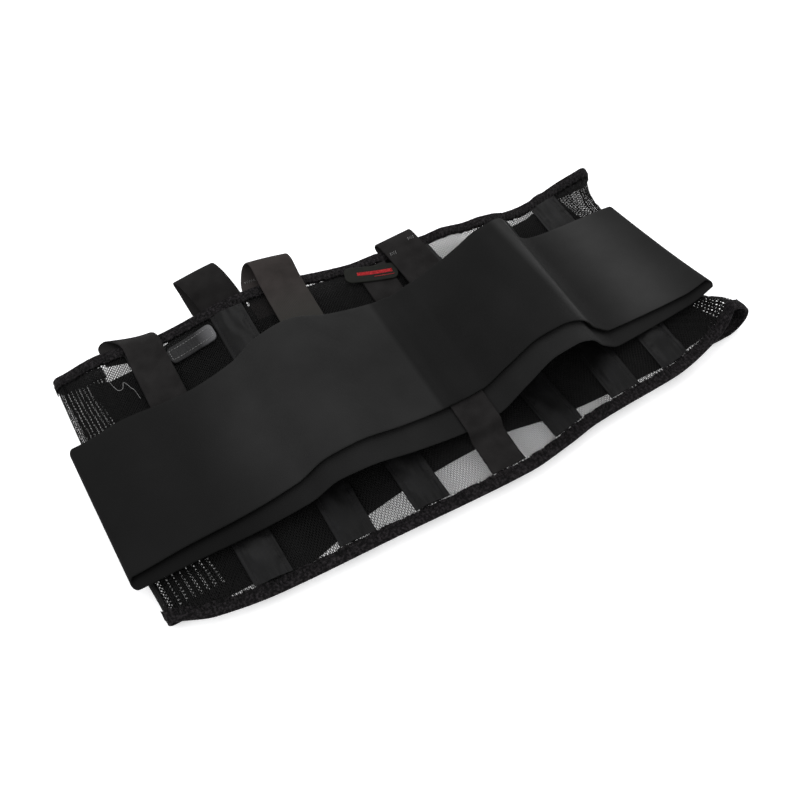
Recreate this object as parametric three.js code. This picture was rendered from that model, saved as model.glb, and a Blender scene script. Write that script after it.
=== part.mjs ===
// A lumbar support belt: a mesh back panel with stays, two wide elastic pull bands and
// strap loops, fastened into a ring and laid flat with its back panel up.
// Millimetres. +X runs along the belt, +Y to its top edge, +Z up from the table.
// The origin is under the centre of the back, at mid height, on the table.
import * as THREE from "three";

// Belt body
const beltLength = 486; // from fold to fold of the flattened ring
const beltHeight = 223; // bottom edge to top edge at the centre of the back
const panelWall = 1.2; // mesh cloth of the back panel
const panelStand = 6.4; // lowest height of the panel over its own hem
const panelLoft = 17; // how far the strap loops push the panel up
const rightHemLead = 13; // from the right fold's bottom edge forward to its hem's
const sewnGap = 0.4; // clearance between layers that are sewn together

// Front closure flaps, on the underside
const flapWall = 1.6;
const flapStep = 26; // length over which one flap climbs onto the other
const flapSeam = 14; // overlap of each flap with the hem
const flapTuck = 1.5; // what each flap keeps of its sewn width inside the hem
const flapNotch = { left: 5, right: 0 }; // cut from each flap's top corner beside the hem

// Edge binding
const bindingWidth = 8;
const bindingWall = 1;

// Stay channels
const stayWidth = 25;
const stayWall = 1.2; // tape at the sewn edges
const stayCrown = 1; // what the stay inside adds in the middle

// Elastic pull bands
const bandWidth = 105;
const bandWall = 1.8;
const leftBandReach = 250.5; // from the centre of the back to the folded end
const rightBandReach = 209;
const bandLoft = 38; // height of the tallest arch over a band that lies flat
const bandEndRound = 3; // reach of the bend at each folded end
const bandButt = 0.6; // gap between the two bands at the centre of the back
const leftBandSlant = 4; // how far the folded end is out of square
const rightBandSlant = -9;

// Webbing and strap loops
const webbingWidth = 25;
const webbingWall = 1.2;
const strapWidth = 31;
const narrowStrapWidth = 26; // the outermost loop on the left
const strapWall = 1.4;
const loopReach = 34; // how far the largest loop stands past the top edge

// Trim
const labelLength = 42;
const labelWidth = 15;
const labelWall = 1;
const labelTurn = -17; // degrees
const labelCorner = 5;
const patchWidth = 14;
const patchWall = 1.6;
const patchTurn = 3; // degrees
const patchCorner = 4;
const patchClear = 2; // from the patch to the stay channels beside it

const halfLength = beltLength / 2;
const halfHeight = beltHeight / 2;
const hemLevel = flapWall + sewnGap + panelWall / 2; // the hem lies on the flaps
const laneSpacing = 11; // distance between lines across the panel
const bindingHalf = panelWall / 2 + sewnGap + bindingWall; // half its thickness
const layerPitch = bandWall + webbingWall + 2 * sewnGap; // webbing runs between band layers
const stayTop = panelWall / 2 + sewnGap + stayWall + stayCrown; // over the panel's middle

// How far out each fold stands and, under it, where the panel's hem ends, as shares of half the
// length. at is a share of the way from the bottom edge to the top edge.
const folds = {
  left: [
    { at: 0.0, fold: 0.972, hem: 0.745 },
    { at: 0.2, fold: 0.985, hem: 0.77 },
    { at: 1.0, fold: 1.0, hem: 0.86 },
  ],
  right: [
    { at: 0.0, fold: 0.945, hem: 0.81 },
    { at: 0.05, fold: 0.942, hem: 0.81 },
    { at: 0.1, fold: 0.925, hem: 0.808 },
    { at: 0.15, fold: 0.9, hem: 0.805 },
    { at: 0.22, fold: 0.872, hem: 0.802 },
    { at: 0.35, fold: 0.858, hem: 0.8 },
    { at: 0.7, fold: 0.855, hem: 0.775 },
    { at: 0.85, fold: 0.862, hem: 0.74 },
    { at: 0.93, fold: 0.885, hem: 0.725 },
    { at: 1.0, fold: 0.915, hem: 0.72 },
  ],
};

// Outline and height of the back panel. at is a share of half the length, front and back are its
// bottom and top edges as shares of half the height, and the rises are shares of panelLoft. sag is
// how far the middle hangs under a straight line between the edges, a share of panelLoft too.
const panelShape = [
  { at: -1.0, front: -0.775, back: 1.07, frontRise: 0.0, backRise: 0.1, sag: 0 },
  { at: -0.86, front: -0.88, back: 1.06, frontRise: 0.02, backRise: 0.5, sag: 0 },
  { at: -0.7, front: -0.932, back: 1.06, frontRise: 0.0, backRise: 0.2, sag: 0 },
  { at: -0.37, front: -0.967, back: 1.02, frontRise: 0.08, backRise: 1.0, sag: 0 },
  { at: 0.05, front: -1.0, back: 0.965, frontRise: 0.05, backRise: 0.2, sag: 0 },
  { at: 0.2, front: -0.965, back: 0.958, frontRise: 0.06, backRise: 0.22, sag: 0.01 },
  { at: 0.31, front: -0.928, back: 0.95, frontRise: 0.07, backRise: 0.24, sag: 0.02 },
  { at: 0.42, front: -0.916, back: 0.903, frontRise: 0.1, backRise: 0.26, sag: 0.04 },
  { at: 0.6, front: -0.902, back: 0.885, frontRise: 0.12, backRise: 0.0, sag: 0 },
  { at: 0.81, front: -0.81, back: 0.935, frontRise: 0.33, backRise: 0.25, sag: 0.2 },
  { at: 0.86, front: -0.765, back: 0.94, frontRise: 0.75, backRise: 0.35, sag: 0.45 },
  { at: 0.9, front: -0.705, back: 0.945, frontRise: 1.15, backRise: 0.42, sag: 0.65 },
  { at: 1.0, front: -0.65, back: 0.95, frontRise: 1.6, backRise: 0.55, sag: 0.9 },
];

// Where each stay meets the bottom and top edges, as shares of half the length.
const stays = [
  { front: -0.695, back: -0.735 },
  { front: -0.457, back: -0.46 },
  { front: -0.235, back: -0.262 },
  { front: 0.226, back: 0.19 },
  { front: 0.444, back: 0.48 },
  { front: 0.64, back: 0.69 },
];
const webbing = { front: 0.006, back: 0.026 };

// Arches of the bands over the panel: at is a share of the band's reach and the rises are shares
// of bandLoft.
const leftArch = [
  { at: 0.0, frontRise: 0.0, backRise: 0.0 },
  { at: 0.06, frontRise: 0.02, backRise: 0.02 },
  { at: 0.2, frontRise: 0.16, backRise: 0.16 },
  { at: 0.34, frontRise: 0.38, backRise: 0.46 },
  { at: 0.42, frontRise: 0.4, backRise: 0.4 },
  { at: 0.51, frontRise: 0.12, backRise: 0.12 },
  { at: 0.66, frontRise: 0.04, backRise: 0.03 },
  { at: 1.0, frontRise: 0.0, backRise: 0.0 },
];
const rightArch = [
  { at: 0.0, frontRise: 0.0, backRise: 0.0 },
  { at: 0.08, frontRise: 0.06, backRise: 0.12 },
  { at: 0.18, frontRise: 0.52, backRise: 0.38 },
  { at: 0.29, frontRise: 0.98, backRise: 0.72 },
  { at: 0.37, frontRise: 1.0, backRise: 0.94 },
  { at: 0.44, frontRise: 0.84, backRise: 0.98 },
  { at: 0.52, frontRise: 0.36, backRise: 0.34 },
  { at: 0.61, frontRise: 0.03, backRise: 0.05 },
  { at: 1.0, frontRise: 0.0, backRise: 0.0 },
];

// Bottom edges of the band layers at the centre and at the folded ends, as shares of half the
// height.
const bandEdges = {
  centre: { upper: -0.41, lower: -0.61 },
  left: { upper: -0.48, lower: -0.555 },
  right: { upper: -0.45, lower: -0.51 },
};

// Edges of the closure flaps: at is a share of half the length, the edges are shares of half the
// height.
const leftFlapShape = [
  { at: -0.725, front: -0.87, back: 0.965 },
  { at: -0.69, front: -0.868, back: 1.03 },
  { at: -0.6, front: -0.845, back: 1.09 },
  { at: -0.5, front: -0.79, back: 1.09 },
  { at: -0.4, front: -0.735, back: 1.085 },
  { at: -0.27, front: -0.695, back: 1.065 },
  { at: -0.1, front: -0.676, back: 1.02 },
  { at: 0.12, front: -0.665, back: 0.92 },
];
const rightFlapShape = [
  { at: -0.16, front: -0.65, back: 0.66 },
  { at: 0.07, front: -0.671, back: 0.72 },
  { at: 0.2, front: -0.717, back: 0.75 },
  { at: 0.32, front: -0.745, back: 0.77 },
  { at: 0.48, front: -0.76, back: 0.79 },
  { at: 0.62, front: -0.765, back: 0.81 },
];

// Middle lines of the strap loops. at is a share of half the length, out is how far past the top
// edge and up how far over its level, as shares of loopReach. side names the level: over the
// panel, under it, lowest under the strap's other leg, or free beyond the edge. turn is how far
// the right edge leads the left one along Y, as a share of the strap's width.
const strapLoops = {
  strap_loop_1: [
    { at: -0.728, out: -2.1, up: 0.0, side: "over", turn: 0 },
    { at: -0.728, out: -1.4, up: 0.0, side: "over", turn: 0 },
    { at: -0.728, out: -0.7, up: 0.0, side: "over", turn: 0 },
    { at: -0.728, out: -0.1, up: 0.0, side: "over", turn: 0 },
    { at: -0.742, out: 0.15, up: 0.02, side: "free", turn: -0.05 },
    { at: -0.772, out: 0.24, up: -0.05, side: "free", turn: -0.24 },
    { at: -0.79, out: 0.16, up: 0.0, side: "under", turn: -0.24 },
    { at: -0.792, out: -0.12, up: 0.0, side: "under", turn: -0.2 },
    { at: -0.793, out: -0.36, up: 0.0, side: "under", turn: -0.16 },
  ],
  strap_loop_2: [
    { at: -0.458, out: -0.8, up: 0.0, side: "under", turn: 0 },
    { at: -0.458, out: -0.4, up: 0.0, side: "under", turn: 0 },
    { at: -0.456, out: 0.05, up: 0.0, side: "under", turn: 0 },
    { at: -0.475, out: 0.5, up: 0.24, side: "free", turn: 0 },
    { at: -0.49, out: 0.8, up: 0.32, side: "free", turn: 0 },
    { at: -0.495, out: 0.89, up: 0.24, side: "free", turn: 0 },
    { at: -0.49, out: 0.77, up: 0.03, side: "free", turn: 0 },
    { at: -0.485, out: 0.4, up: -0.15, side: "free", turn: 0 },
    { at: -0.48, out: 0.05, up: -0.1, side: "lowest", turn: 0 },
    { at: -0.47, out: -0.4, up: -0.04, side: "lowest", turn: 0 },
    { at: -0.46, out: -0.8, up: 0.0, side: "lowest", turn: 0 },
  ],
  strap_loop_3: [
    { at: -0.272, out: -2.0, up: 0.0, side: "over", turn: 0 },
    { at: -0.272, out: -1.4, up: 0.0, side: "over", turn: 0 },
    { at: -0.27, out: -0.7, up: 0.0, side: "over", turn: 0 },
    { at: -0.268, out: -0.1, up: 0.02, side: "over", turn: 0 },
    { at: -0.267, out: 0.35, up: 0.3, side: "free", turn: 0 },
    { at: -0.272, out: 0.52, up: 0.26, side: "free", turn: 0 },
    { at: -0.285, out: 0.57, up: 0.1, side: "free", turn: 0 },
    { at: -0.305, out: 0.38, up: -0.08, side: "free", turn: 0 },
    { at: -0.318, out: 0.08, up: 0.0, side: "under", turn: 0 },
    { at: -0.32, out: -0.4, up: 0.0, side: "under", turn: 0 },
    { at: -0.32, out: -0.8, up: 0.0, side: "under", turn: 0 },
  ],
  strap_loop_4: [
    { at: 0.165, out: -1.8, up: 0.0, side: "over", turn: 0 },
    { at: 0.164, out: -1.2, up: 0.0, side: "over", turn: 0 },
    { at: 0.16, out: -0.6, up: 0.0, side: "over", turn: 0 },
    { at: 0.156, out: -0.1, up: 0.0, side: "over", turn: 0 },
    { at: 0.154, out: 0.27, up: 0.06, side: "free", turn: 0.08 },
    { at: 0.152, out: 0.32, up: -0.06, side: "free", turn: 0.08 },
    { at: 0.15, out: 0.06, up: 0.0, side: "under", turn: 0 },
    { at: 0.148, out: -0.4, up: 0.0, side: "under", turn: 0 },
    { at: 0.148, out: -0.9, up: 0.0, side: "under", turn: 0 },
  ],
};

const strapWidths = {
  strap_loop_1: narrowStrapWidth,
  strap_loop_2: strapWidth,
  strap_loop_3: strapWidth,
  strap_loop_4: strapWidth,
};

// Centres of the trim, as shares of half the length and half the height.
const labelPlace = { at: 0.012, up: 0.82 };
const patchPlace = { up: 0.855 };

const clothColour = 0x1b1b1c;
const labelColour = 0x6e1d22;
const patchColour = 0x8c8c90;
const bandColour = 0x242425;
const tapeColour = 0x222223;

function material(color, roughness) {
  return new THREE.MeshStandardMaterial({ color, roughness, metalness: 0 });
}

// A smooth curve through one column of a table, which never overshoots a row.
function curveThrough(rows, column) {
  const slopes = rows
    .slice(1)
    .map((row, i) => (row[column] - rows[i][column]) / (row.at - rows[i].at));
  const tangents = rows.map((row, i) => {
    const before = slopes[i - 1] ?? 0;
    const after = slopes[i] ?? 0;
    return before * after > 0 ? (2 * before * after) / (before + after) : 0;
  });
  return (at) => {
    const last = rows.length - 2;
    const found = rows.findIndex((row, i) => i <= last && at <= rows[i + 1].at);
    const i = found < 0 ? last : found;
    const span = rows[i + 1].at - rows[i].at;
    const t = THREE.MathUtils.clamp((at - rows[i].at) / span, 0, 1);
    const rise = rows[i + 1][column] - rows[i][column];
    return (
      rows[i][column] +
      t * t * (3 - 2 * t) * rise +
      t * (1 - t) * span * ((1 - t) * tangents[i] - t * tangents[i + 1])
    );
  };
}

// A closed solid lofted through sections that all have the same number of points. flatAxes are
// the two axes in which the end sections are triangulated.
function loft(sections, flatAxes) {
  const size = sections[0].length;
  const positions = sections.flat().flatMap((p) => [p.x, p.y, p.z]);
  const faces = [];
  for (let s = 0; s + 1 < sections.length; s++) {
    for (let i = 0; i < size; i++) {
      const a = s * size + i;
      const b = s * size + ((i + 1) % size);
      faces.push([a, b, b + size], [a, b + size, a + size]);
    }
  }
  for (const end of [0, sections.length - 1]) {
    const flat = sections[end].map(
      (p) => new THREE.Vector2(p[flatAxes[0]], p[flatAxes[1]]),
    );
    const withSection = !THREE.ShapeUtils.isClockWise(flat);
    const forward = withSection === (end > 0);
    for (const [a, b, c] of THREE.ShapeUtils.triangulateShape(flat, [])) {
      const corners = forward ? [a, b, c] : [a, c, b];
      faces.push(corners.map((k) => end * size + k));
    }
  }
  const corner = (k) => new THREE.Vector3().fromArray(positions, 3 * k);
  const volume = faces.reduce(
    (sum, [a, b, c]) => sum + corner(a).dot(corner(b).cross(corner(c))),
    0,
  );
  const outward = faces.map(([a, b, c]) => (volume > 0 ? [a, b, c] : [a, c, b]));
  const geometry = new THREE.BufferGeometry();
  geometry.setAttribute("position", new THREE.Float32BufferAttribute(positions, 3));
  geometry.setIndex(outward.flat());
  geometry.computeVertexNormals();
  return geometry;
}

function part(name, geometry, look) {
  const mesh = new THREE.Mesh(geometry, look);
  mesh.name = name;
  return mesh;
}

// Numbers from 0 to 1 in equal steps.
function shares(steps) {
  return Array.from({ length: steps + 1 }, (_, i) => i / steps);
}

// A cloth that lies on a surface. place gives each point's x, y, underside and wall.
function laid(alongs, acrosses, place, flatAxes = ["y", "z"]) {
  const sections = alongs.map((along) => {
    const points = acrosses.map((across) => place(along, across));
    const top = points.map((p) => new THREE.Vector3(p.x, p.y, p.z + p.wall));
    const under = points.map((p) => new THREE.Vector3(p.x, p.y, p.z));
    return [...top, ...under.reverse()];
  });
  return loft(sections, flatAxes);
}

// Back panel

const panelEdge = {
  front: curveThrough(panelShape, "front"),
  back: curveThrough(panelShape, "back"),
};
const panelRise = {
  front: curveThrough(panelShape, "frontRise"),
  back: curveThrough(panelShape, "backRise"),
  sag: curveThrough(panelShape, "sag"),
};

function panelY(x, side) {
  return panelEdge[side](x / halfLength) * halfHeight;
}

// Height of the middle of the panel's wall.
function panelZ(x, y) {
  const at = x / halfLength;
  const share = (y - panelY(x, "front")) / (panelY(x, "back") - panelY(x, "front"));
  const straight = THREE.MathUtils.lerp(panelRise.front(at), panelRise.back(at), share);
  const sag = panelRise.sag(at) * 4 * share * (1 - share);
  return hemLevel + panelStand + (straight - sag) * panelLoft;
}

const foldEnds = {
  left: {
    sign: -1,
    lead: 0,
    fold: curveThrough(folds.left, "fold"),
    hem: curveThrough(folds.left, "hem"),
  },
  right: {
    sign: 1,
    lead: rightHemLead,
    fold: curveThrough(folds.right, "fold"),
    hem: curveThrough(folds.right, "hem"),
  },
};

function foldX(name, across) {
  return foldEnds[name].sign * foldEnds[name].fold(across) * halfLength;
}

function hemX(name, across) {
  return foldEnds[name].sign * foldEnds[name].hem(across) * halfLength;
}

function acrossY(x, across) {
  return THREE.MathUtils.lerp(panelY(x, "front"), panelY(x, "back"), across);
}

// The hem runs straight back under the panel.
function hemY(name, across) {
  const front = panelY(foldX(name, 0), "front") - foldEnds[name].lead;
  const back = panelY(foldX(name, 1), "back");
  return THREE.MathUtils.lerp(front, back, across);
}

// Shares of the way from the bottom edge to the top edge at which the panel has its lines.
const panelRows = [0, 0.065, 0.2, 0.4, 0.6, 0.8, 0.935, 1];

// The reach of a fold along X is half its height.
function foldReach(name, across) {
  const x = foldX(name, across);
  return (panelZ(x, acrossY(x, across)) - hemLevel) / 2;
}

// Lines across the upper side of the panel: the edges and crown of every stay, and lines between
// them. Each gives its x a share of the way from the bottom edge to the top edge.
function panelLanes() {
  const half = stayWidth / 2;
  const found = [(across) => foldX("left", across) + foldReach("left", across)];
  const fill = (to) => {
    const from = found[found.length - 1];
    const steps = Math.max(1, Math.round((to(0) - from(0)) / laneSpacing));
    for (const share of shares(steps).slice(1)) {
      found.push((across) => THREE.MathUtils.lerp(from(across), to(across), share));
    }
  };
  for (const { front, back } of [...stays, webbing].sort((a, b) => a.front - b.front)) {
    const along = (offset) => (across) =>
      THREE.MathUtils.lerp(front, back, across) * halfLength + offset;
    fill(along(-half));
    found.push(...[-0.6, 0, 0.6, 1].map((share) => along(share * half)));
  }
  fill((across) => foldX("right", across) - foldReach("right", across));
  return found;
}

// One line of the panel from hem to hem, a share of the way from its bottom to its top edge.
function panelLine(across) {
  const hem = (name, steps) => {
    const start = foldX(name, across) - foldEnds[name].sign * foldReach(name, across);
    return shares(steps).map((share) => {
      const x = THREE.MathUtils.lerp(start, hemX(name, across), share);
      return new THREE.Vector3(x, hemY(name, across), hemLevel);
    });
  };
  // A fold, from the upper side down to the hem.
  const fold = (name, steps) => {
    const { sign } = foldEnds[name];
    const reach = foldReach(name, across);
    const inner = foldX(name, across) - sign * reach;
    const top = acrossY(inner, across);
    const radius = (panelZ(inner, top) - hemLevel) / 2;
    return shares(steps)
      .slice(1, -1)
      .map((share) => {
        const angle = Math.PI * share;
        const x = inner + sign * reach * Math.sin(angle);
        const y = THREE.MathUtils.lerp(top, hemY(name, across), share);
        return new THREE.Vector3(x, y, hemLevel + radius * (1 + Math.cos(angle)));
      });
  };
  const upper = lanes.map((lane) => {
    const x = lane(across);
    const y = acrossY(x, across);
    return new THREE.Vector3(x, y, panelZ(x, y));
  });
  return [
    ...hem("left", 4).reverse(),
    ...fold("left", 6).reverse(),
    ...upper,
    ...fold("right", 6),
    ...hem("right", 3),
  ];
}

// Directions square to a line, in the XZ plane, away from the inside of the belt.
function squareTo(line) {
  return line.map((_, i) => {
    const before = line[Math.max(i - 1, 0)];
    const after = line[Math.min(i + 1, line.length - 1)];
    const run = new THREE.Vector2(after.x - before.x, after.z - before.z).normalize();
    return new THREE.Vector3(-run.y, 0, run.x);
  });
}

const lanes = panelLanes();
const panelLines = panelRows.map((across) => panelLine(across));
const panelNormals = panelLines.map(squareTo);

// A point of the panel at one station of its lines, offset from the middle of its wall.
function onPanel(station, row, offset) {
  return panelLines[row][station].clone().addScaledVector(panelNormals[row][station], offset);
}

function backPanel() {
  const rows = panelRows.map((_, row) => row);
  const sections = panelLines[0].map((_, station) => [
    ...rows.map((row) => onPanel(station, row, panelWall / 2)),
    ...rows.map((row) => onPanel(station, row, -panelWall / 2)).reverse(),
  ]);
  return loft(sections, ["y", "z"]);
}

// A tape folded round one edge of the panel, with a C-shaped section.
function binding(side) {
  const edge = side === "front" ? 0 : panelRows.length - 1;
  const next = side === "front" ? 1 : panelRows.length - 2;
  const slot = panelWall / 2 + sewnGap;
  const outer = -sewnGap - bindingWall;
  const profile = [
    [outer, -bindingHalf],
    [bindingWidth, -bindingHalf],
    [bindingWidth, -slot],
    [-sewnGap, -slot],
    [-sewnGap, slot],
    [bindingWidth, slot],
    [bindingWidth, bindingHalf],
    [outer, bindingHalf],
  ];
  const sections = panelLines[edge].map((at, station) => {
    const width = at.distanceTo(panelLines[next][station]);
    return profile.map(([reach, height]) =>
      onPanel(station, edge, height).lerp(onPanel(station, next, height), reach / width),
    );
  });
  return loft(sections, ["y", "z"]);
}

// A tape along Y between the two bindings, sewn to the panel, with its own rows across.
function tape(ends, acrosses, wallAt) {
  const alongs = shares(12);
  const inside = bindingWidth + sewnGap;
  const place = (along, across) => {
    const offset = (across * stayWidth) / 2;
    const low = ends.front * halfLength + offset;
    const high = ends.back * halfLength + offset;
    const x = THREE.MathUtils.lerp(low, high, along);
    const y = THREE.MathUtils.lerp(
      panelY(low, "front") + inside,
      panelY(high, "back") - inside,
      along,
    );
    return { x, y, z: panelZ(x, y) + panelWall / 2 + sewnGap, wall: wallAt(across) };
  };
  return laid(alongs, acrosses, place, ["x", "z"]);
}

function stayChannel(ends) {
  return tape(ends, [-1, -0.6, 0, 0.6, 1], (across) => stayWall + stayCrown * (1 - across ** 2));
}

// Elastic pull bands

const bands = {
  left: { sign: -1, reach: leftBandReach, slant: leftBandSlant, arch: leftArch },
  right: { sign: 1, reach: rightBandReach, slant: rightBandSlant, arch: rightArch },
};

// Bottom edge of one layer of a band, a share of the way from the centre to its end.
function bandFront(name, layer, share) {
  const centre = bandEdges.centre[layer];
  return THREE.MathUtils.lerp(centre, bandEdges[name][layer], share) * halfHeight;
}

// Middle of the lower layer's wall, straight across from its bottom edge to its top edge.
function lowerBandZ(name, x, y) {
  const { sign, reach, arch } = bands[name];
  const share = THREE.MathUtils.clamp((sign * x) / reach, 0, 1);
  const front = bandFront(name, "lower", share);
  const seat = stayTop + sewnGap + bandWall / 2 + sewnGap;
  const height = (edge, column) =>
    panelZ(x, edge) + seat + curveThrough(arch, column)(share) * bandLoft;
  return THREE.MathUtils.lerp(
    height(front, "frontRise"),
    height(front + bandWidth, "backRise"),
    (y - front) / bandWidth,
  );
}

// One edge of a band, from the sewn end of its lower layer round the fold to the free end.
function bandLine(name, edge) {
  const { sign, slant } = bands[name];
  const reach = bands[name].reach - (edge === "front" ? slant : 0);
  const steps = 28;
  const place = (share, layer) => {
    const y = bandFront(name, layer, share) + (edge === "back" ? bandWidth : 0);
    const x = sign * (bandButt / 2 + share * (reach - bandEndRound));
    const run = sewnGap; // a short run, over which the slope is measured
    const rise = lowerBandZ(name, x + run, y) - lowerBandZ(name, x, y);
    const square = new THREE.Vector3(-rise, 0, run).normalize();
    const point = new THREE.Vector3(x, y, lowerBandZ(name, x, y));
    return layer === "upper" ? point.addScaledVector(square, layerPitch) : point;
  };
  const lower = shares(steps).map((share) => place(share, "lower"));
  const upper = shares(steps).map((share) => place(share, "upper"));
  const bend = shares(4)
    .slice(1, -1)
    .map((share) => {
      const angle = Math.PI * share;
      const point = lower[steps].clone().lerp(upper[steps], (1 - Math.cos(angle)) / 2);
      point.x += sign * bandEndRound * Math.sin(angle);
      return point;
    });
  return [...lower, ...bend, ...upper.reverse()];
}

function pullBand(name) {
  const front = bandLine(name, "front");
  const back = bandLine(name, "back");
  const frontSquare = squareTo(front);
  const backSquare = squareTo(back);
  const sections = front.map((_, i) =>
    [
      [front[i], frontSquare[i], 1],
      [back[i], backSquare[i], 1],
      [back[i], backSquare[i], -1],
      [front[i], frontSquare[i], -1],
    ].map(([at, square, way]) => at.clone().addScaledVector(square, (way * bandWall) / 2)),
  );
  return loft(sections, ["y", "z"]);
}

// The webbing up the centre of the back, which runs over the lower layers of the bands.
function centreWebbing() {
  const inside = bindingWidth + sewnGap;
  const bandLow = bandFront("right", "lower", 0);
  const bandHigh = bandLow + bandWidth;
  const start = panelY(0, "front") + inside;
  const end = panelY(0, "back") - inside;
  const ramp = 9;
  const clear = 2;
  const alongs = [
    ...shares(3).map((t) => THREE.MathUtils.lerp(start, bandLow - ramp, t)),
    bandLow - clear,
    ...shares(6).map((t) => THREE.MathUtils.lerp(bandLow + clear, bandHigh - clear, t)),
    bandHigh + clear,
    ...shares(3).map((t) => THREE.MathUtils.lerp(bandHigh + ramp, end, t)),
  ];
  const place = (along, across) => {
    const share = (along - start) / (end - start);
    const middle = THREE.MathUtils.lerp(webbing.front, webbing.back, share);
    const x = middle * halfLength + (across * webbingWidth) / 2;
    const y = THREE.MathUtils.clamp(
      along,
      panelY(x, "front") + inside,
      panelY(x, "back") - inside,
    );
    const low = panelZ(x, y) + panelWall / 2 + sewnGap;
    const name = x < 0 ? "left" : "right";
    const high = lowerBandZ(name, x, y) + bandWall / 2 + sewnGap;
    const onBand = y > bandLow - ramp + 1 && y < bandHigh + ramp - 1;
    return { x, y, z: onBand ? high : low, wall: webbingWall };
  };
  return laid(alongs, [-1, -0.6, 0, 0.6, 1], place, ["x", "z"]);
}

// A strap of even wall, smooth along its length, that follows the panel across its width.
function strap(rows, strapAcross) {
  const under = -bindingHalf - sewnGap - strapWall / 2;
  const levels = {
    over: stayTop + sewnGap + strapWall / 2,
    free: 0,
    under,
    lowest: under - sewnGap - strapWall,
  };
  const curves = [-1, -0.5, 0, 0.5, 1].map((across) => {
    const points = rows.map(({ at, out, up, side, turn }) => {
      const offset = (across * strapAcross) / 2;
      const x = at * halfLength + offset;
      const edge = panelY(x, "back");
      const y = edge + sewnGap + bindingWall + out * loopReach + turn * offset;
      const level = panelZ(x, Math.min(y, edge)) + levels[side];
      return new THREE.Vector3(x, y, level + up * loopReach);
    });
    return new THREE.CatmullRomCurve3(points, false, "centripetal");
  });
  const sections = shares(3 * (rows.length - 1)).map((t) => {
    const points = curves.map((curve) => curve.getPoint(t));
    const width = points[points.length - 1].clone().sub(points[0]);
    const out = width.cross(curves[2].getTangent(t)).setLength(strapWall / 2);
    return [
      ...points.map((point) => point.clone().add(out)),
      ...points.map((point) => point.clone().sub(out)).reverse(),
    ];
  });
  return loft(sections, ["x", "z"]);
}

// Front closure flaps

function closureFlap(shape, name) {
  const { sign } = foldEnds[name];
  const front = curveThrough(shape, "front");
  const back = curveThrough(shape, "back");
  const inside = bindingWidth + 2 * sewnGap;
  // The sewn end lies between the legs of the bindings.
  const tucked = (beyond, notch) => ({
    front: { x: hemX(name, 0) + sign * beyond, y: hemY(name, 0) + inside },
    back: { x: hemX(name, 1) + sign * beyond, y: hemY(name, 1) - inside - notch },
  });
  const free = shape.map(({ at }) => ({
    front: { x: at * halfLength, y: front(at) * halfHeight },
    back: { x: at * halfLength, y: back(at) * halfHeight },
  }));
  const sewn = [tucked(flapSeam, 0), tucked(-flapTuck, flapNotch[name])];
  const stations = sign < 0 ? [...sewn, ...free] : [...free, ...sewn.reverse()];
  const climb = (x) => {
    if (sign < 0) return 0;
    const landing = leftFlapShape[leftFlapShape.length - 1].at * halfLength;
    const share = THREE.MathUtils.clamp(1 - (x - landing - 1) / flapStep, 0, 1);
    return share * (flapWall + sewnGap);
  };
  const lines = [];
  stations.forEach((station, i) => {
    if (i > 0) {
      for (const share of shares(4).slice(1, -1)) {
        lines.push(mixStations(stations[i - 1], station, share));
      }
    }
    lines.push(station);
  });
  const place = (line, across) => {
    const x = THREE.MathUtils.lerp(line.front.x, line.back.x, across);
    const y = THREE.MathUtils.lerp(line.front.y, line.back.y, across);
    return { x, y, z: climb(x), wall: flapWall };
  };
  return laid(lines, [0, 1], place);
}

function mixStations(a, b, share) {
  const mix = (side, axis) => THREE.MathUtils.lerp(a[side][axis], b[side][axis], share);
  return {
    front: { x: mix("front", "x"), y: mix("front", "y") },
    back: { x: mix("back", "x"), y: mix("back", "y") },
  };
}

// Trim

// A flat trim sewn on the panel around a point of it. lift is its height over the panel's middle.
function trim(centre, length, width, turn, lift, wall, corner) {
  const steps = shares(6).map((share) => share * 2 - 1);
  const angle = THREE.MathUtils.degToRad(turn);
  const place = (along, across) => {
    const inset = Math.abs(along) === 1 ? 1 - (2 * corner) / width : 1;
    const offset = new THREE.Vector2((along * length) / 2, (across * inset * width) / 2);
    const { x, y } = offset.rotateAround(new THREE.Vector2(), angle).add(centre);
    return { x, y, z: panelZ(x, y) + lift, wall };
  };
  return laid(steps, [-1, -0.33, 0.33, 1], place);
}

function wovenLabel() {
  const centre = new THREE.Vector2(labelPlace.at * halfLength, labelPlace.up * halfHeight);
  const lift = bindingHalf + sewnGap;
  return trim(centre, labelLength, labelWidth, labelTurn, lift, labelWall, labelCorner);
}

// Middle of a stay channel at one height across the panel.
function stayMiddle(ends, y) {
  const inside = bindingWidth + sewnGap;
  const low = ends.front * halfLength;
  const high = ends.back * halfLength;
  const from = panelY(low, "front") + inside;
  const to = panelY(high, "back") - inside;
  return THREE.MathUtils.mapLinear(y, from, to, low, high);
}

// The patch fills the space between the first two channels.
function hookPatch() {
  const y = patchPlace.up * halfHeight;
  const left = stayMiddle(stays[0], y) + stayWidth / 2 + patchClear;
  const right = stayMiddle(stays[1], y) - stayWidth / 2 - patchClear;
  const centre = new THREE.Vector2((left + right) / 2, y);
  const lift = panelWall / 2 + sewnGap;
  return trim(centre, right - left, patchWidth, patchTurn, lift, patchWall, patchCorner);
}

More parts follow.
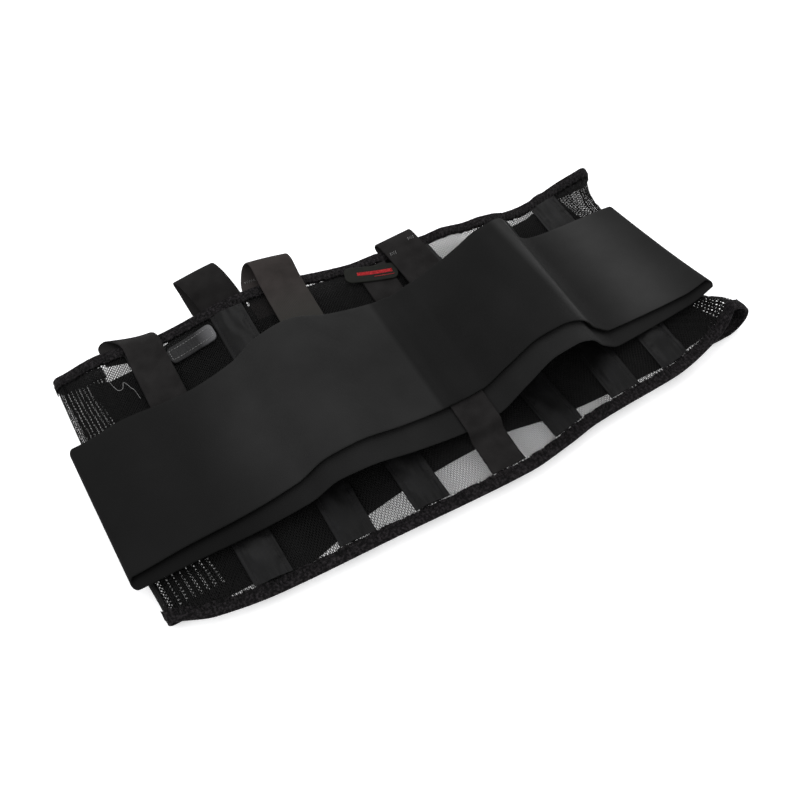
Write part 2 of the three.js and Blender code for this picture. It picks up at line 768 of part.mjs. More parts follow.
const cloth = material(clothColour, 0.9);
const elastic = material(bandColour, 0.75);
const tapes = material(tapeColour, 0.85);
const belt = new THREE.Group();
belt.add(part("back_panel", backPanel(), cloth));
belt.add(part("top_binding", binding("back"), cloth));
belt.add(part("bottom_binding", binding("front"), cloth));
stays.forEach((stay, i) => belt.add(part(`stay_channel_${i + 1}`, stayChannel(stay), tapes)));
belt.add(part("left_pull_band", pullBand("left"), elastic));
belt.add(part("right_pull_band", pullBand("right"), elastic));
belt.add(part("centre_webbing", centreWebbing(), tapes));
belt.add(part("left_closure_flap", closureFlap(leftFlapShape, "left"), cloth));
belt.add(part("right_closure_flap", closureFlap(rightFlapShape, "right"), cloth));
for (const [name, rows] of Object.entries(strapLoops)) {
  belt.add(part(name, strap(rows, strapWidths[name]), tapes));
}
belt.add(part("woven_label", wovenLabel(), material(labelColour, 0.8)));
belt.add(part("hook_patch", hookPatch(), material(patchColour, 0.5)));

export default belt;
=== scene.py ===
# A lumbar support belt: power mesh back, stay channels, bound edges, elastic pull bands and
# strap loops, fastened into a ring and laid flat. Shapes are worked out in millimetres.
import math

import bpy
import numpy as np
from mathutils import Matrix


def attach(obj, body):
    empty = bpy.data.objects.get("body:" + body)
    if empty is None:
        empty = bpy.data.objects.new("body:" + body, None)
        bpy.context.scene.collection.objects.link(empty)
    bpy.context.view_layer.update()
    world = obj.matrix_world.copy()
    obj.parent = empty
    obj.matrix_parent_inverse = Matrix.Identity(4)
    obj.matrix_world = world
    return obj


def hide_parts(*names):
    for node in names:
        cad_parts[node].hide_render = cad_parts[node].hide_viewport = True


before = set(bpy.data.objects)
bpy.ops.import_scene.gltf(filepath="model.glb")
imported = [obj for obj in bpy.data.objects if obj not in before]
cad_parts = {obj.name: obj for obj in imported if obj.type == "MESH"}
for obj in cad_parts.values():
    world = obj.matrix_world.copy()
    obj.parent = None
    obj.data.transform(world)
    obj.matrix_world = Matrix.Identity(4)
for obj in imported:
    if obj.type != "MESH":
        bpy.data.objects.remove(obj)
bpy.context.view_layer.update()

scene = bpy.context.scene

# Sizes of the belt, the same as in the part.

belt = {
    "halfLength": 243.0,
    "halfHeight": 111.5,
    "panelWall": 1.2,
    "panelStand": 6.4,  # how far the back lies over its hems
    "panelLoft": 17.0,  # height of a rise of 1 in the panel's table
    "rightHemLead": 13.0,  # how far the right hem's front end stands forward
    "gap": 0.4,  # between sewn layers
    "flapWall": 1.6,
    "bindingWidth": 8.0,
    "bindingWall": 1.0,
    "stayWidth": 25.0,
    "stayWall": 1.2,
    "stayCrown": 1.0,
    "bandWidth": 105.0,
    "bandWall": 1.8,
    "bandLoft": 38.0,  # height of a rise of 1 in the tables of the arches
    "webbingWidth": 25.0,
    "webbingWall": 1.2,
    "strapWidth": 31.0,
    "narrowStrap": 26.0,
    "strapWall": 1.4,
    "loopReach": 34.0,  # length of a reach of 1 in the tables of the loops
}
halfLength, halfHeight = belt["halfLength"], belt["halfHeight"]
gap = belt["gap"]
hemLevel = belt["flapWall"] + gap + belt["panelWall"] / 2
bindingHalf = belt["panelWall"] / 2 + gap + belt["bindingWall"]
stayTop = belt["panelWall"] / 2 + gap + belt["stayWall"] + belt["stayCrown"]
layerPitch = belt["bandWall"] + belt["webbingWall"] + 2 * gap

# Small helpers.


def lerp(a, b, t):
    return a + (b - a) * t


def unit(vectors):
    return vectors / np.maximum(np.linalg.norm(vectors, axis=-1, keepdims=True), 1e-9)


def upward(points):
    # straight up at each of the points
    square = np.zeros_like(points)
    square[..., 2] = 1
    return square


def runAlong(line):
    # length along a line of points, at each point
    return np.append(0, np.cumsum(np.linalg.norm(np.diff(line, axis=0), axis=1)))


def curveThrough(rows, column):
    # a smooth curve through one column, which never overshoots a row
    at = np.array([row[0] for row in rows], float)
    value = np.array([row[column] for row in rows], float)
    slope = np.diff(value) / np.diff(at)
    before, after = np.append(0, slope), np.append(slope, 0)
    both = before * after
    total = np.where(both > 0, before + after, 1)
    tangent = np.where(both > 0, 2 * both / total, 0)

    def curve(x):
        i = np.clip(np.searchsorted(at, x) - 1, 0, len(at) - 2)
        span = at[i + 1] - at[i]
        t = np.clip((x - at[i]) / span, 0, 1)
        bend = t * (1 - t) * span * ((1 - t) * tangent[i] - t * tangent[i + 1])
        return value[i] + t * t * (3 - 2 * t) * (value[i + 1] - value[i]) + bend

    return curve


def patches(x, y, size, seed):
    # smooth random bumps from -1 to 1, about size millimetres across; they repeat after 61 cells
    cells = 61
    table = np.random.default_rng(seed).uniform(-1, 1, (cells, cells))
    u, v = np.asarray(x) / size, np.asarray(y) / size
    i, j = np.floor(u).astype(int), np.floor(v).astype(int)
    s, t = u - i, v - j
    s, t = s * s * (3 - 2 * s), t * t * (3 - 2 * t)
    low, high = (
        lerp(table[i % cells, row % cells], table[(i + 1) % cells, row % cells], s)
        for row in (j, j + 1)
    )
    return lerp(low, high, t)


def smoothstep(low, high, x):
    t = np.clip((x - low) / (high - low), 0, 1)
    return t * t * (3 - 2 * t)


# The belt's surface.

# columns: share of the height, then the fold and the hem as shares of half the length
leftFolds = [(0.0, 0.972, 0.745), (0.2, 0.985, 0.77), (1.0, 1.0, 0.86)]
rightFolds = [
    (0.0, 0.945, 0.81),
    (0.05, 0.942, 0.81),
    (0.1, 0.925, 0.808),
    (0.15, 0.9, 0.805),
    (0.22, 0.872, 0.802),
    (0.35, 0.858, 0.8),
    (0.7, 0.855, 0.775),
    (0.85, 0.862, 0.74),
    (0.93, 0.885, 0.725),
    (1.0, 0.915, 0.72),
]
# columns: share of half the length, front edge, back edge, front rise, back rise, sag
panelShape = [
    (-1.0, -0.775, 1.07, 0.0, 0.1, 0),
    (-0.86, -0.88, 1.06, 0.02, 0.5, 0),
    (-0.7, -0.932, 1.06, 0.0, 0.2, 0),
    (-0.37, -0.967, 1.02, 0.08, 1.0, 0),
    (0.05, -1.0, 0.965, 0.05, 0.2, 0),
    (0.2, -0.965, 0.958, 0.06, 0.22, 0.01),
    (0.31, -0.928, 0.95, 0.07, 0.24, 0.02),
    (0.42, -0.916, 0.903, 0.1, 0.26, 0.04),
    (0.6, -0.902, 0.885, 0.12, 0.0, 0),
    (0.81, -0.81, 0.935, 0.33, 0.25, 0.2),
    (0.86, -0.765, 0.94, 0.75, 0.35, 0.45),
    (0.9, -0.705, 0.945, 1.15, 0.42, 0.65),
    (1.0, -0.65, 0.95, 1.6, 0.55, 0.9),
]

panelEdge = {"front": curveThrough(panelShape, 1), "back": curveThrough(panelShape, 2)}
frontRise, backRise, sagDepth = (curveThrough(panelShape, column) for column in (3, 4, 5))
foldEnds = {
    "left": (-1, curveThrough(leftFolds, 1), curveThrough(leftFolds, 2)),
    "right": (1, curveThrough(rightFolds, 1), curveThrough(rightFolds, 2)),
}


def panelY(x, side):
    return panelEdge[side](x / halfLength) * halfHeight


def panelZ(x, y):
    at = x / halfLength
    share = (y - panelY(x, "front")) / (panelY(x, "back") - panelY(x, "front"))
    straight = lerp(frontRise(at), backRise(at), share)
    sag = sagDepth(at) * 4 * share * (1 - share)
    return hemLevel + belt["panelStand"] + (straight - sag) * belt["panelLoft"]


def acrossY(x, across):
    return lerp(panelY(x, "front"), panelY(x, "back"), across)


def foldPlaces(name, across):
    # where the fold starts, how far it reaches, and the hem's line
    sign, fold, hem = foldEnds[name]
    foldX = sign * fold(across) * halfLength
    reach = (panelZ(foldX, acrossY(foldX, across)) - hemLevel) / 2
    ends = [sign * fold(share) * halfLength for share in (0.0, 1.0)]
    lead = belt["rightHemLead"] if name == "right" else 0.0
    hemY = lerp(panelY(ends[0], "front") - lead, panelY(ends[1], "back"), across)
    return foldX - sign * reach, reach, sign * hem(across) * halfLength, hemY, sign


def panelPoint(along, across):
    # along runs through the left hem, left fold, back, right fold and right hem, one unit each
    along, across = np.broadcast_arrays(np.asarray(along, float), np.asarray(across, float))
    innerLeft = foldPlaces("left", across)[0]
    innerRight = foldPlaces("right", across)[0]
    x = lerp(innerLeft, innerRight, np.clip(along - 2, 0, 1))
    y = acrossY(x, across)
    out = np.stack([x, y, panelZ(x, y)], -1)
    for name, pastFold, pastBack in (
        ("left", 1 - along, 2 - along), ("right", along - 4, along - 3)
    ):
        inner, reach, hemX, hemY, sign = foldPlaces(name, across)
        top = acrossY(inner, across)
        radius = (panelZ(inner, top) - hemLevel) / 2
        foldShare = np.clip(pastBack, 0, 1)
        angle = np.pi * foldShare
        bent = [
            inner + sign * reach * np.sin(angle),
            lerp(top, hemY, foldShare),
            hemLevel + radius * (1 + np.cos(angle)),
        ]
        flat = [lerp(inner, hemX, np.clip(pastFold, 0, 1)), hemY, np.full_like(hemY, hemLevel)]
        out = np.where((pastBack > 0)[..., None], np.stack(bent, -1), out)
        out = np.where((pastFold > 0)[..., None], np.stack(flat, -1), out)
    return out


def panelSquare(along, across):
    # outward direction, square to the belt's run
    run = panelPoint(along + 0.004, across) - panelPoint(along - 0.004, across)
    return unit(np.stack([-run[..., 2], np.zeros(run.shape[:-1]), run[..., 0]], -1))


ringUnits = np.linspace(0, 5, 2001)
ringRun = runAlong(panelPoint(ringUnits, 0.5))


def alongAt(run):
    # from millimetres along the belt's middle line to the units of panelPoint
    return np.interp(run, ringRun, ringUnits)


def runAt(along):
    return np.interp(along, ringUnits, ringRun)


# Meshes.


def addPiece(name, points, faces, material, nodes=(), uv=None, sharp=False):
    mesh = bpy.data.meshes.new(name)
    mesh.from_pydata((np.asarray(points) / 1000).tolist(), [], faces)
    if uv is not None:
        layer = mesh.uv_layers.new(name="cloth")
        loops = np.zeros(len(mesh.loops), int)
        mesh.loops.foreach_get("vertex_index", loops)
        layer.data.foreach_set("uv", np.asarray(uv, float)[loops].ravel())
    mesh.polygons.foreach_set("use_smooth", [True] * len(mesh.polygons))
    if sharp:
        mesh.set_sharp_from_angle(angle=math.radians(60))
    mesh.materials.append(material)
    mesh.update()
    piece = bpy.data.objects.new(name, mesh)
    scene.collection.objects.link(piece)
    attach(piece, "root")
    if nodes:
        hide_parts(*nodes)
    return piece


def loftFaces(stations, size):
    # quads round closed sections; each end is closed by quads between both halves of its section
    i = np.arange(stations - 1)[:, None] * size
    j = np.arange(size)[None, :]
    k = (j + 1) % size
    quads = np.stack([i + j, i + k, i + size + k, i + size + j], -1).reshape(-1, 4)
    faces = quads.tolist()
    for base, turned in ((0, True), ((stations - 1) * size, False)):
        for a in range(size // 2 - 1):
            quad = [base + a, base + a + 1, base + size - 2 - a, base + size - 1 - a]
            faces.append(quad[::-1] if turned else quad)
    return faces


def outward(points, faces):
    # turns every face the other way when the body is inside out
    corners = points[np.asarray(faces)]
    volume = sum(
        np.einsum("ij,ij->", corners[:, 0], np.cross(corners[:, n], corners[:, n + 1]))
        for n in (1, 2)
    )
    return faces if volume > 0 else [face[::-1] for face in faces]


def roundedCloth(middle, square, wall, edgeSteps=3):
    # closed sections round a cloth: middle and square are grids, stations by points across
    half = np.broadcast_to(np.asarray(wall, float), middle.shape[:2])[..., None] / 2
    topSide = middle + square * half
    underSide = middle - square * half
    first = unit(middle[:, 0] - middle[:, 1])
    final = unit(middle[:, -1] - middle[:, -2])
    angles = np.linspace(0, np.pi, edgeSteps + 2)[1:-1]

    def nose(out, start, end):
        # a round edge from one side of the cloth to the other
        centre = (start + end) / 2
        arm = (start - end) / 2
        size = np.linalg.norm(arm, axis=1, keepdims=True)
        return [centre + arm * math.cos(t) + out * size * math.sin(t) for t in angles]

    rows = [
        *np.moveaxis(topSide, 1, 0),
        *nose(final, topSide[:, -1], underSide[:, -1]),
        *np.moveaxis(underSide, 1, 0)[::-1],
        *nose(first, underSide[:, 0], topSide[:, 0]),
    ]
    return np.stack(rows, 1)


def sweptCloth(name, sections, material, nodes=()):
    # a closed body through closed sections; uv is in millimetres, along and around
    stations, size = sections.shape[:2]
    points = sections.reshape(-1, 3)
    faces = outward(points, loftFaces(stations, size))
    along, around = runAlong(sections[:, size // 4]), runAlong(sections[stations // 2])
    uv = np.stack(np.meshgrid(along, around, indexing="ij"), -1).reshape(-1, 2)
    return addPiece(name, points, faces, material, nodes, uv, sharp=True)


def tubes(lines, radius, sides=4):
    # closed threads along lines of points; returns their points and faces together
    points, faces = [], []
    askew = [0.13, 0.21, 0.97]  # a direction that no thread runs in
    for line in lines:
        line = np.asarray(line, float)
        run = unit(np.gradient(line, axis=0))
        side = unit(np.cross(run, askew))
        lift = np.cross(side, run)
        base = len(points)
        for n, at in enumerate(line):
            for s in range(sides):
                t = 2 * math.pi * (s + 0.5) / sides
                points.append(at + radius * (side[n] * math.cos(t) + lift[n] * math.sin(t)))
        for n in range(len(line) - 1):
            for s in range(sides):
                a = base + n * sides + s
                b = base + n * sides + (s + 1) % sides
                faces.append([a, b, b + sides, a + sides])
        faces.append([base + s for s in reversed(range(sides))])
        last = base + (len(line) - 1) * sides
        faces.append([last + s for s in range(sides)])
    return np.array(points), faces


def dashes(line, square, pitch, length, lift):
    # stitches on a line of points: short arcs that start and end in the cloth
    dip = 0.25  # how deep their ends go into it
    line = np.asarray(line, float)
    run = runAlong(line)
    found = []
    for start in np.arange(pitch * 0.3, run[-1] - length, pitch):
        at = start + np.linspace(0, length, 5)
        points = np.stack([np.interp(at, run, line[:, n]) for n in range(3)], 1)
        up = unit(np.stack([np.interp(at, run, square[:, n]) for n in range(3)], 1))
        rise = np.sin(np.linspace(0, np.pi, 5)) * (lift + dip) - dip
        found.append(points + up * rise[:, None])
    return found


# Materials.


def linear(hexColour):
    values = [int(hexColour[n : n + 2], 16) / 255 for n in (0, 2, 4)]
    return [v / 12.92 if v <= 0.04045 else ((v + 0.055) / 1.055) ** 2.4 for v in values] + [1]


def addNode(tree, kind, settings=None, links=None):
    node = tree.nodes.new(kind)
    for key, value in (settings or {}).items():
        if isinstance(key, int) or key in node.inputs:
            node.inputs[key].default_value = value
        else:
            setattr(node, key, value)
    for key, socket in (links or {}).items():
        tree.links.new(socket, node.inputs[key])
    return node


def clothMaterial(name, look):
    # a cloth with blotches of tone, a thread pattern across and along, and fine fuzz
    material = bpy.data.materials.new(name)
    material.use_nodes = True
    tree = material.node_tree
    shader = tree.nodes["Principled BSDF"]
    shader.inputs["Roughness"].default_value = look["roughness"]
    shader.inputs["IOR"].default_value = 1.5  # near that of nylon and polyester
    shader.inputs["Specular IOR Level"].default_value = look["specular"]
    shader.inputs["Sheen Weight"].default_value = look["sheen"]
    shader.inputs["Sheen Roughness"].default_value = 0.4
    shader.inputs["Sheen Tint"].default_value = linear(look["sheenColour"])
    place = addNode(tree, "ShaderNodeUVMap", {"uv_map": "cloth"})
    solid = addNode(tree, "ShaderNodeTexCoord")
    blotch = addNode(
        tree, "ShaderNodeTexNoise", {"Scale": 1000 / look["blotch"], "Detail": 4.0},
        {"Vector": solid.outputs["Object"]},
    )
    ramp = addNode(tree, "ShaderNodeValToRGB", None, {"Fac": blotch.outputs["Fac"]})
    darkest, lightest = ramp.color_ramp.elements
    darkest.position, lightest.position = look.get("ramp", (0.3, 0.7))
    darkest.color, lightest.color = linear(look["dark"]), linear(look["light"])
    colour = ramp.outputs["Color"]
    if "fade" in look:
        # another tone from one place to another along the cloth, in millimetres; on the hook tape it
        # is a painted highlight
        start, stop, tone = look["fade"]
        apart = addNode(tree, "ShaderNodeSeparateXYZ", None, {0: place.outputs["UV"]})
        share = addNode(
            tree, "ShaderNodeMapRange", {"From Min": start, "From Max": stop},
            {"Value": apart.outputs["X"]},
        )
        colour = addNode(
            tree, "ShaderNodeMix", {"data_type": "RGBA", 7: linear(tone)},
            {0: share.outputs[0], 6: colour},
        ).outputs[2]
    if "paintedLight" in look:
        # painted light and shade along the cloth: each stop has a place in millimetres and a share of
        # the tone
        stops = look["paintedLight"]
        reach = stops[-1][0]
        apart = addNode(tree, "ShaderNodeSeparateXYZ", None, {0: place.outputs["UV"]})
        share = addNode(
            tree, "ShaderNodeMath", {"operation": "DIVIDE", 1: reach}, {0: apart.outputs["X"]}
        )
        paintedShading = addNode(tree, "ShaderNodeValToRGB", None, {"Fac": share.outputs[0]})
        paintedShading.color_ramp.interpolation = "EASE"
        elements = paintedShading.color_ramp.elements
        elements[0].position, elements[1].position = 0, 1
        for stop, tone in stops[1:-1]:
            elements.new(stop / reach)
        for element, (stop, tone) in zip(elements, stops):
            element.color = (tone, tone, tone, 1)
        colour = addNode(
            tree, "ShaderNodeMix", {"data_type": "RGBA", "blend_type": "MULTIPLY", 0: 1.0},
            {6: colour, 7: paintedShading.outputs["Color"]},
        ).outputs[2]
    if "lint" in look:
        # specks: their pitch in millimetres, their size as a share of it, and their tone
        pitch, size, tone = look["lint"]
        speck = addNode(
            tree, "ShaderNodeTexVoronoi", {"Scale": 1000 / pitch},
            {"Vector": solid.outputs["Object"]},
        )
        near = addNode(
            tree, "ShaderNodeMath", {"operation": "LESS_THAN", 1: size},
            {0: speck.outputs["Distance"]},
        )
        colour = addNode(
            tree, "ShaderNodeMix", {"data_type": "RGBA", 7: linear(tone)},
            {0: near.outputs[0], 6: colour},
        ).outputs[2]
    tree.links.new(colour, shader.inputs["Base Color"])
    reliefs = []
    for axis, key in (("X", "along"), ("Y", "across")):
        if key in look:
            pitch, depth = look[key]
            # a wave repeats every 2 pi / 20 units at scale 1
            wave = addNode(
                tree, "ShaderNodeTexWave",
                {"bands_direction": axis, "Scale": 2 * math.pi / (20 * pitch),
                 "Distortion": look["waver"], "Detail": 1.0},
                {"Vector": place.outputs["UV"]},
            )
            reliefs.append((wave.outputs["Fac"], depth))
    fuzz = addNode(
        tree, "ShaderNodeTexNoise", {"Scale": 1000 / look["fuzz"], "Detail": 3.0},
        {"Vector": solid.outputs["Object"]},
    )
    reliefs.append((fuzz.outputs["Fac"], look["fuzzDepth"]))
    height = None
    for socket, depth in reliefs:
        scaled = addNode(tree, "ShaderNodeMath", {"operation": "MULTIPLY", 1: depth}, {0: socket})
        height = scaled if height is None else addNode(
            tree, "ShaderNodeMath", {"operation": "ADD"}, {0: height.outputs[0], 1: scaled.outputs[0]}
        )
    bump = addNode(
        tree, "ShaderNodeBump", {"Strength": 1.0, "Distance": 0.001}, {"Height": height.outputs[0]}
    )
    tree.links.new(bump.outputs["Normal"], shader.inputs["Normal"])
    return material


# Sizes of blotches, fuzz and weave are in millimetres, and depths too. The weaves of tape,
# webbing, elastic and label are drawn two to four times as coarse as real ones, so that they show.

# power mesh: knitted nylon net, thin dull threads with a faint gloss
meshThread = clothMaterial("power_mesh_nylon", {
    "dark": "111111", "light": "181818", "blotch": 40, "roughness": 0.62, "specular": 0.08,
    "sheen": 0.01, "sheenColour": "8a8a90", "fuzz": 0.8, "fuzzDepth": 0.02,
})
# binding: knitted elastic tape, pebbled, with grey specks on its loops
bindingKnit = clothMaterial("knitted_elastic_binding", {
    "dark": "0a090a", "light": "302d2f", "blotch": 1.7, "ramp": (0.44, 0.8), "roughness": 0.85,
    "specular": 0.08, "sheen": 0.03, "sheenColour": "9a9498", "fuzz": 0.8, "fuzzDepth": 0.4,
    "along": (1.6, 0.25), "across": (1.4, 0.2), "waver": 2.0,
})
# channel tape: satin woven polyester, smooth with a soft gloss along the wrinkles
channelTape = clothMaterial("satin_woven_tape", {
    "dark": "080808", "light": "0e0e0f", "blotch": 14, "roughness": 0.45, "specular": 0.1,
    "sheen": 0.01, "sheenColour": "a0a0a4", "fuzz": 0.7, "fuzzDepth": 0.05,
    "along": (0.8, 0.04), "waver": 0.4,
})
# pull band: woven rubber elastic, matte, with fine ribs along it and a little lint
elastic = {
    "dark": "242424", "light": "2f2f2f", "blotch": 55, "roughness": 0.7, "specular": 0.07,
    "sheen": 0.02, "sheenColour": "a8a8a8", "fuzz": 0.6, "fuzzDepth": 0.05,
    "across": (1.1, 0.05), "waver": 0.2, "lint": (24.0, 0.013, "48484a"),
}
# webbing: plain woven polyester elastic, matte, with fuzz from use that softens its ribs
webbingWeave = clothMaterial("plain_woven_webbing", {
    "dark": "171616", "light": "201f1f", "blotch": 12, "roughness": 0.85, "specular": 0.06,
    "sheen": 0.03, "sheenColour": "a8a4a4", "fuzz": 0.7, "fuzzDepth": 0.08,
    "along": (0.9, 0.07), "across": (1.2, 0.04), "waver": 0.3,
})
# the same webbing in a warmer and paler grey, which turns to an even grey towards the strap's start
paleWebbing = clothMaterial("pale_woven_webbing", {
    "dark": "282524", "light": "34302f", "blotch": 16, "roughness": 0.85, "specular": 0.06,
    "sheen": 0.04, "sheenColour": "b0acac", "fuzz": 0.7, "fuzzDepth": 0.08,
    "along": (0.9, 0.07), "across": (1.2, 0.04), "waver": 0.3, "fade": (60, 25, "2e2d2b"),
})
# closure flap: brushed loop cloth, which takes the light evenly
brushedLoop = clothMaterial("brushed_loop_cloth", {
    "dark": "131313", "light": "1b1b1b", "blotch": 9, "roughness": 0.95, "specular": 0.03,
    "sheen": 0.01, "sheenColour": "808080", "fuzz": 0.5, "fuzzDepth": 0.25,
})
# black sewing thread: spun polyester, a dull line that shows by its relief alone
blackThread = clothMaterial("black_polyester_thread", {
    "dark": "0c0c0c", "light": "181818", "blotch": 3, "roughness": 0.6, "specular": 0.15,
    "sheen": 0.03, "sheenColour": "a0a0a0", "fuzz": 0.4, "fuzzDepth": 0.05,
})
# pale sewing thread: spun polyester, uneven grey, the lightest thing on the belt
paleThread = clothMaterial("pale_polyester_thread", {
    "dark": "5a5a5a", "light": "989898", "blotch": 3, "roughness": 0.6, "specular": 0.2,
    "sheen": 0.1, "sheenColour": "c0c0c0", "fuzz": 0.4, "fuzzDepth": 0.05,
})
# label: woven polyester damask, an even near black with fine ribs
labelDamask = clothMaterial("woven_label_damask", {
    "dark": "0b0c0a", "light": "12140f", "blotch": 8, "roughness": 0.6, "specular": 0.1,
    "sheen": 0.02, "sheenColour": "90908a", "fuzz": 0.5, "fuzzDepth": 0.05,
    "along": (0.5, 0.06), "waver": 0.6,
})
# red label thread: filament polyester, bright, with a slight gloss
labelRed = clothMaterial("woven_red_thread", {
    "dark": "a01820", "light": "d8363c", "blotch": 2, "roughness": 0.55, "specular": 0.3,
    "sheen": 0.1, "sheenColour": "ff9090", "fuzz": 0.4, "fuzzDepth": 0.05,
})
# hook tape: moulded nylon, a grey with a painted highlight that lightens one end
hookNylon = clothMaterial("moulded_nylon_hooks", {
    "dark": "0d0d0e", "light": "181819", "blotch": 4, "roughness": 0.4, "specular": 0.14,
    "sheen": 0.0, "sheenColour": "ffffff", "fuzz": 1.1, "fuzzDepth": 0.3,
    "fade": (24, 40, "5a5a5c"),
})
print("materials ready")

# Back panel: a net of knitted threads.

net = {
    # columns: lean of the threads, spacing, thread width and height in the cloth
    "families": [(90, 1.2, 0.44, 0.1), (48, 1.85, 0.37, 0.0), (-48, 1.85, 0.37, -0.1)],
    "span": 214.0,  # width of the cloth
    "margin": 3.0,  # hidden inside the binding
    "step": 5.6,  # between the points of a thread
    "crest": 0.15,  # top of a thread over its height in the cloth
    "belly": 0.08,  # its flat underside below that height
    "hemSpacing": 0.9,  # the relaxed hem has its ribs closer together
    "bunchPitch": 3.7,  # and bunched, which shows as bands through the layer above
    "driftBack": 2.6,  # how far the hem is skewed against the cloth above it, at each edge
    "driftFront": 1.6,
    "dent": 0.9,  # soft dents, three times as long across the belt as along it
    "dentSize": 9,
    "dentSeed": 5,
    "gather": 1.5,  # gathers that run down the cloth beside the right fold
    "gatherPitch": 7.5,
}
# ends of each piece along the belt, how much thicker its threads look in the open cloth and in
# the hem, how far the hem is bunched, and how the front edge draws the cloth together
netPieces = {
    "net_back": {
        "ends": (2.0, 3.0), "nodes": ["back_panel"], "open": 1.0, "hem": 1.0, "bunch": 0.85,
        "drawnUpTo": 0.24, "drawn": 0.0,
    },
    "net_left_fold": {
        "ends": (0.0, 2.0), "nodes": [], "open": 1.4, "hem": 1.4, "bunch": 0.85,
        "drawnUpTo": 0.24, "drawn": 0.65,
    },
    "net_right_fold": {
        "ends": (3.0, 5.0), "nodes": [], "open": 1.75, "hem": 1.85, "bunch": 0.3,
        "drawnUpTo": 0.5, "drawn": 0.9,
    },
}


def netSag(along, across):
    # soft dents between the bound edges, always away from what is sewn on top
    run = runAt(along)
    inside = np.sin(np.pi * np.clip(across, 0, 1)) ** 0.5
    crossRun = across * net["span"] * 0.35
    dent = 0.5 + 0.5 * patches(run + 3 * across, crossRun, net["dentSize"], net["dentSeed"])
    sag = net["dent"] * dent * inside * (np.abs(along - 2.5) < 0.49)
    beside = smoothstep(2.86, 2.95, along) * smoothstep(3.6, 3.2, along)
    skewed = run * 0.8 + across * net["span"] * 0.5
    ripple = 0.5 + 0.5 * np.sin(2 * np.pi * skewed / net["gatherPitch"])
    return sag + net["gather"] * ripple * inside * beside


def hemDrift(across):
    back = net["driftBack"] * smoothstep(0.72, 0.95, across)
    return back - net["driftFront"] * smoothstep(0.6, 0.1, across)


def ribStarts(low, high, spacing):
    # the ribs stand closer together in the hems, from 0 to 1 and from 4 to 5
    starts = []
    for a, b, pitch in ((0, 1, net["hemSpacing"]), (1, 4, spacing), (4, 5, net["hemSpacing"])):
        a, b = max(a, low), min(b, high)
        if b > a:
            starts.append(np.arange(runAt(a), runAt(b), pitch))
    return np.concatenate(starts)


def netPiece(name, piece):
    threads, faces, caps, count = [], [], [], 0
    low, high = piece["ends"]
    first, last = runAt(low), runAt(high)
    height = net["span"] - 2 * net["margin"]
    for degrees, spacing, size, level in net["families"]:
        upright = degrees == 90
        lean = math.radians(degrees)
        shear = 0 if upright else 1 / math.tan(lean)
        length = abs(math.sin(lean))
        reach = abs(shear) * height
        starts = (
            ribStarts(low, high, spacing) if upright
            else np.arange(first - reach, last + reach, spacing / length)
        )
        steps = int(height / (net["step"] * length))
        v = np.linspace(net["margin"], net["span"] - net["margin"], steps + 1)
        u = starts[:, None] + (v[None, :] - net["margin"]) * shear
        across = np.broadcast_to(v / net["span"], u.shape)
        inHem = (u < runAt(1)) | (u > runAt(4))
        # the cloth is tighter, and so looks darker, where the front edge draws it together
        edge = piece["drawnUpTo"]
        drawn = 1 + piece["drawn"] * smoothstep(edge, 0.6 * edge, across)
        sizes = size * drawn * np.where(inHem, piece["hem"], piece["open"])
        if upright:
            u = u + hemDrift(across) * inHem
            bunched = 0.95 + piece["bunch"] * np.sin(2 * np.pi * starts / net["bunchPitch"])
            sizes = sizes * np.where(inHem, bunched[:, None], 1)
        inRange = (u >= first - 0.01) & (u <= last + 0.01)
        along = alongAt(np.clip(u, first, last))
        at = panelPoint(along, across)
        square = panelSquare(np.clip(along, 0.005, 4.995), across)
        at = at - square * netSag(along, across)[..., None]
        half = unit(np.cross(unit(np.gradient(at, axis=1)), square)) * sizes[..., None] * 0.5
        top, under = at + square * (level + net["crest"]), at + square * (level - net["belly"])
        threads.append(np.stack([top, under + half, under - half], 2).reshape(-1, 3))
        use = inRange[:, :-1] & inRange[:, 1:]
        rows, columns = np.nonzero(use)
        base = count + (rows * (steps + 1) + columns) * 3
        for a, b in ((0, 1), (1, 2), (2, 0)):
            faces.append(np.stack([base + a, base + b, base + 3 + b, base + 3 + a], 1))
        starting = use & ~np.pad(use, ((0, 0), (1, 0)))[:, :-1]
        ending = use & ~np.pad(use, ((0, 0), (0, 1)))[:, 1:]
        for ends, shift, order in ((starting, 0, (2, 1, 0)), (ending, 3, (0, 1, 2))):
            rows, columns = np.nonzero(ends)
            base = count + (rows * (steps + 1) + columns) * 3 + shift
            caps.append(np.stack([base + n for n in order], 1))
        count += len(threads[-1])
    points = np.concatenate(threads)
    quads = np.concatenate(faces)
    used = np.unique(quads)
    where = np.zeros(len(points), int)
    where[used] = np.arange(len(used))
    closed = where[quads].tolist() + where[np.concatenate(caps)].tolist()
    cloth = addPiece(name, points[used], closed, meshThread, piece["nodes"])
    # a grid over the smooth surface that the threads follow, worked out and not used
    along, across = np.meshgrid(np.linspace(low, high, 81), np.linspace(0, 1, 41), indexing="ij")
    panelPoint(along, across)


for name, piece in netPieces.items():
    netPiece(name, piece)
print("net ready")

# Edge bindings.

bindingLook = {
    "half": 1.45,  # half its thickness, pressed flat by the stitches
    "slot": 0.75,  # half the slot that the mesh sits in
    "step": 0.85,  # between its sections
    "pucker": 0.3,  # depth of the gathers that the zigzag stitch pulls
    "loopSize": 1.7,  # sizes of its knitted loops and of the lumps among them
    "lumpSize": 4.5,
    "ragged": 0.7,  # how far the inner edge wanders
    "raggedSize": 1.4,
    "waveSize": 15,
    "zigPitch": 3.2,
    "zigInner": 9.4,
    "zigOuter": 3.2,
    "zigWander": 1.3,
    "thread": 0.3,
}
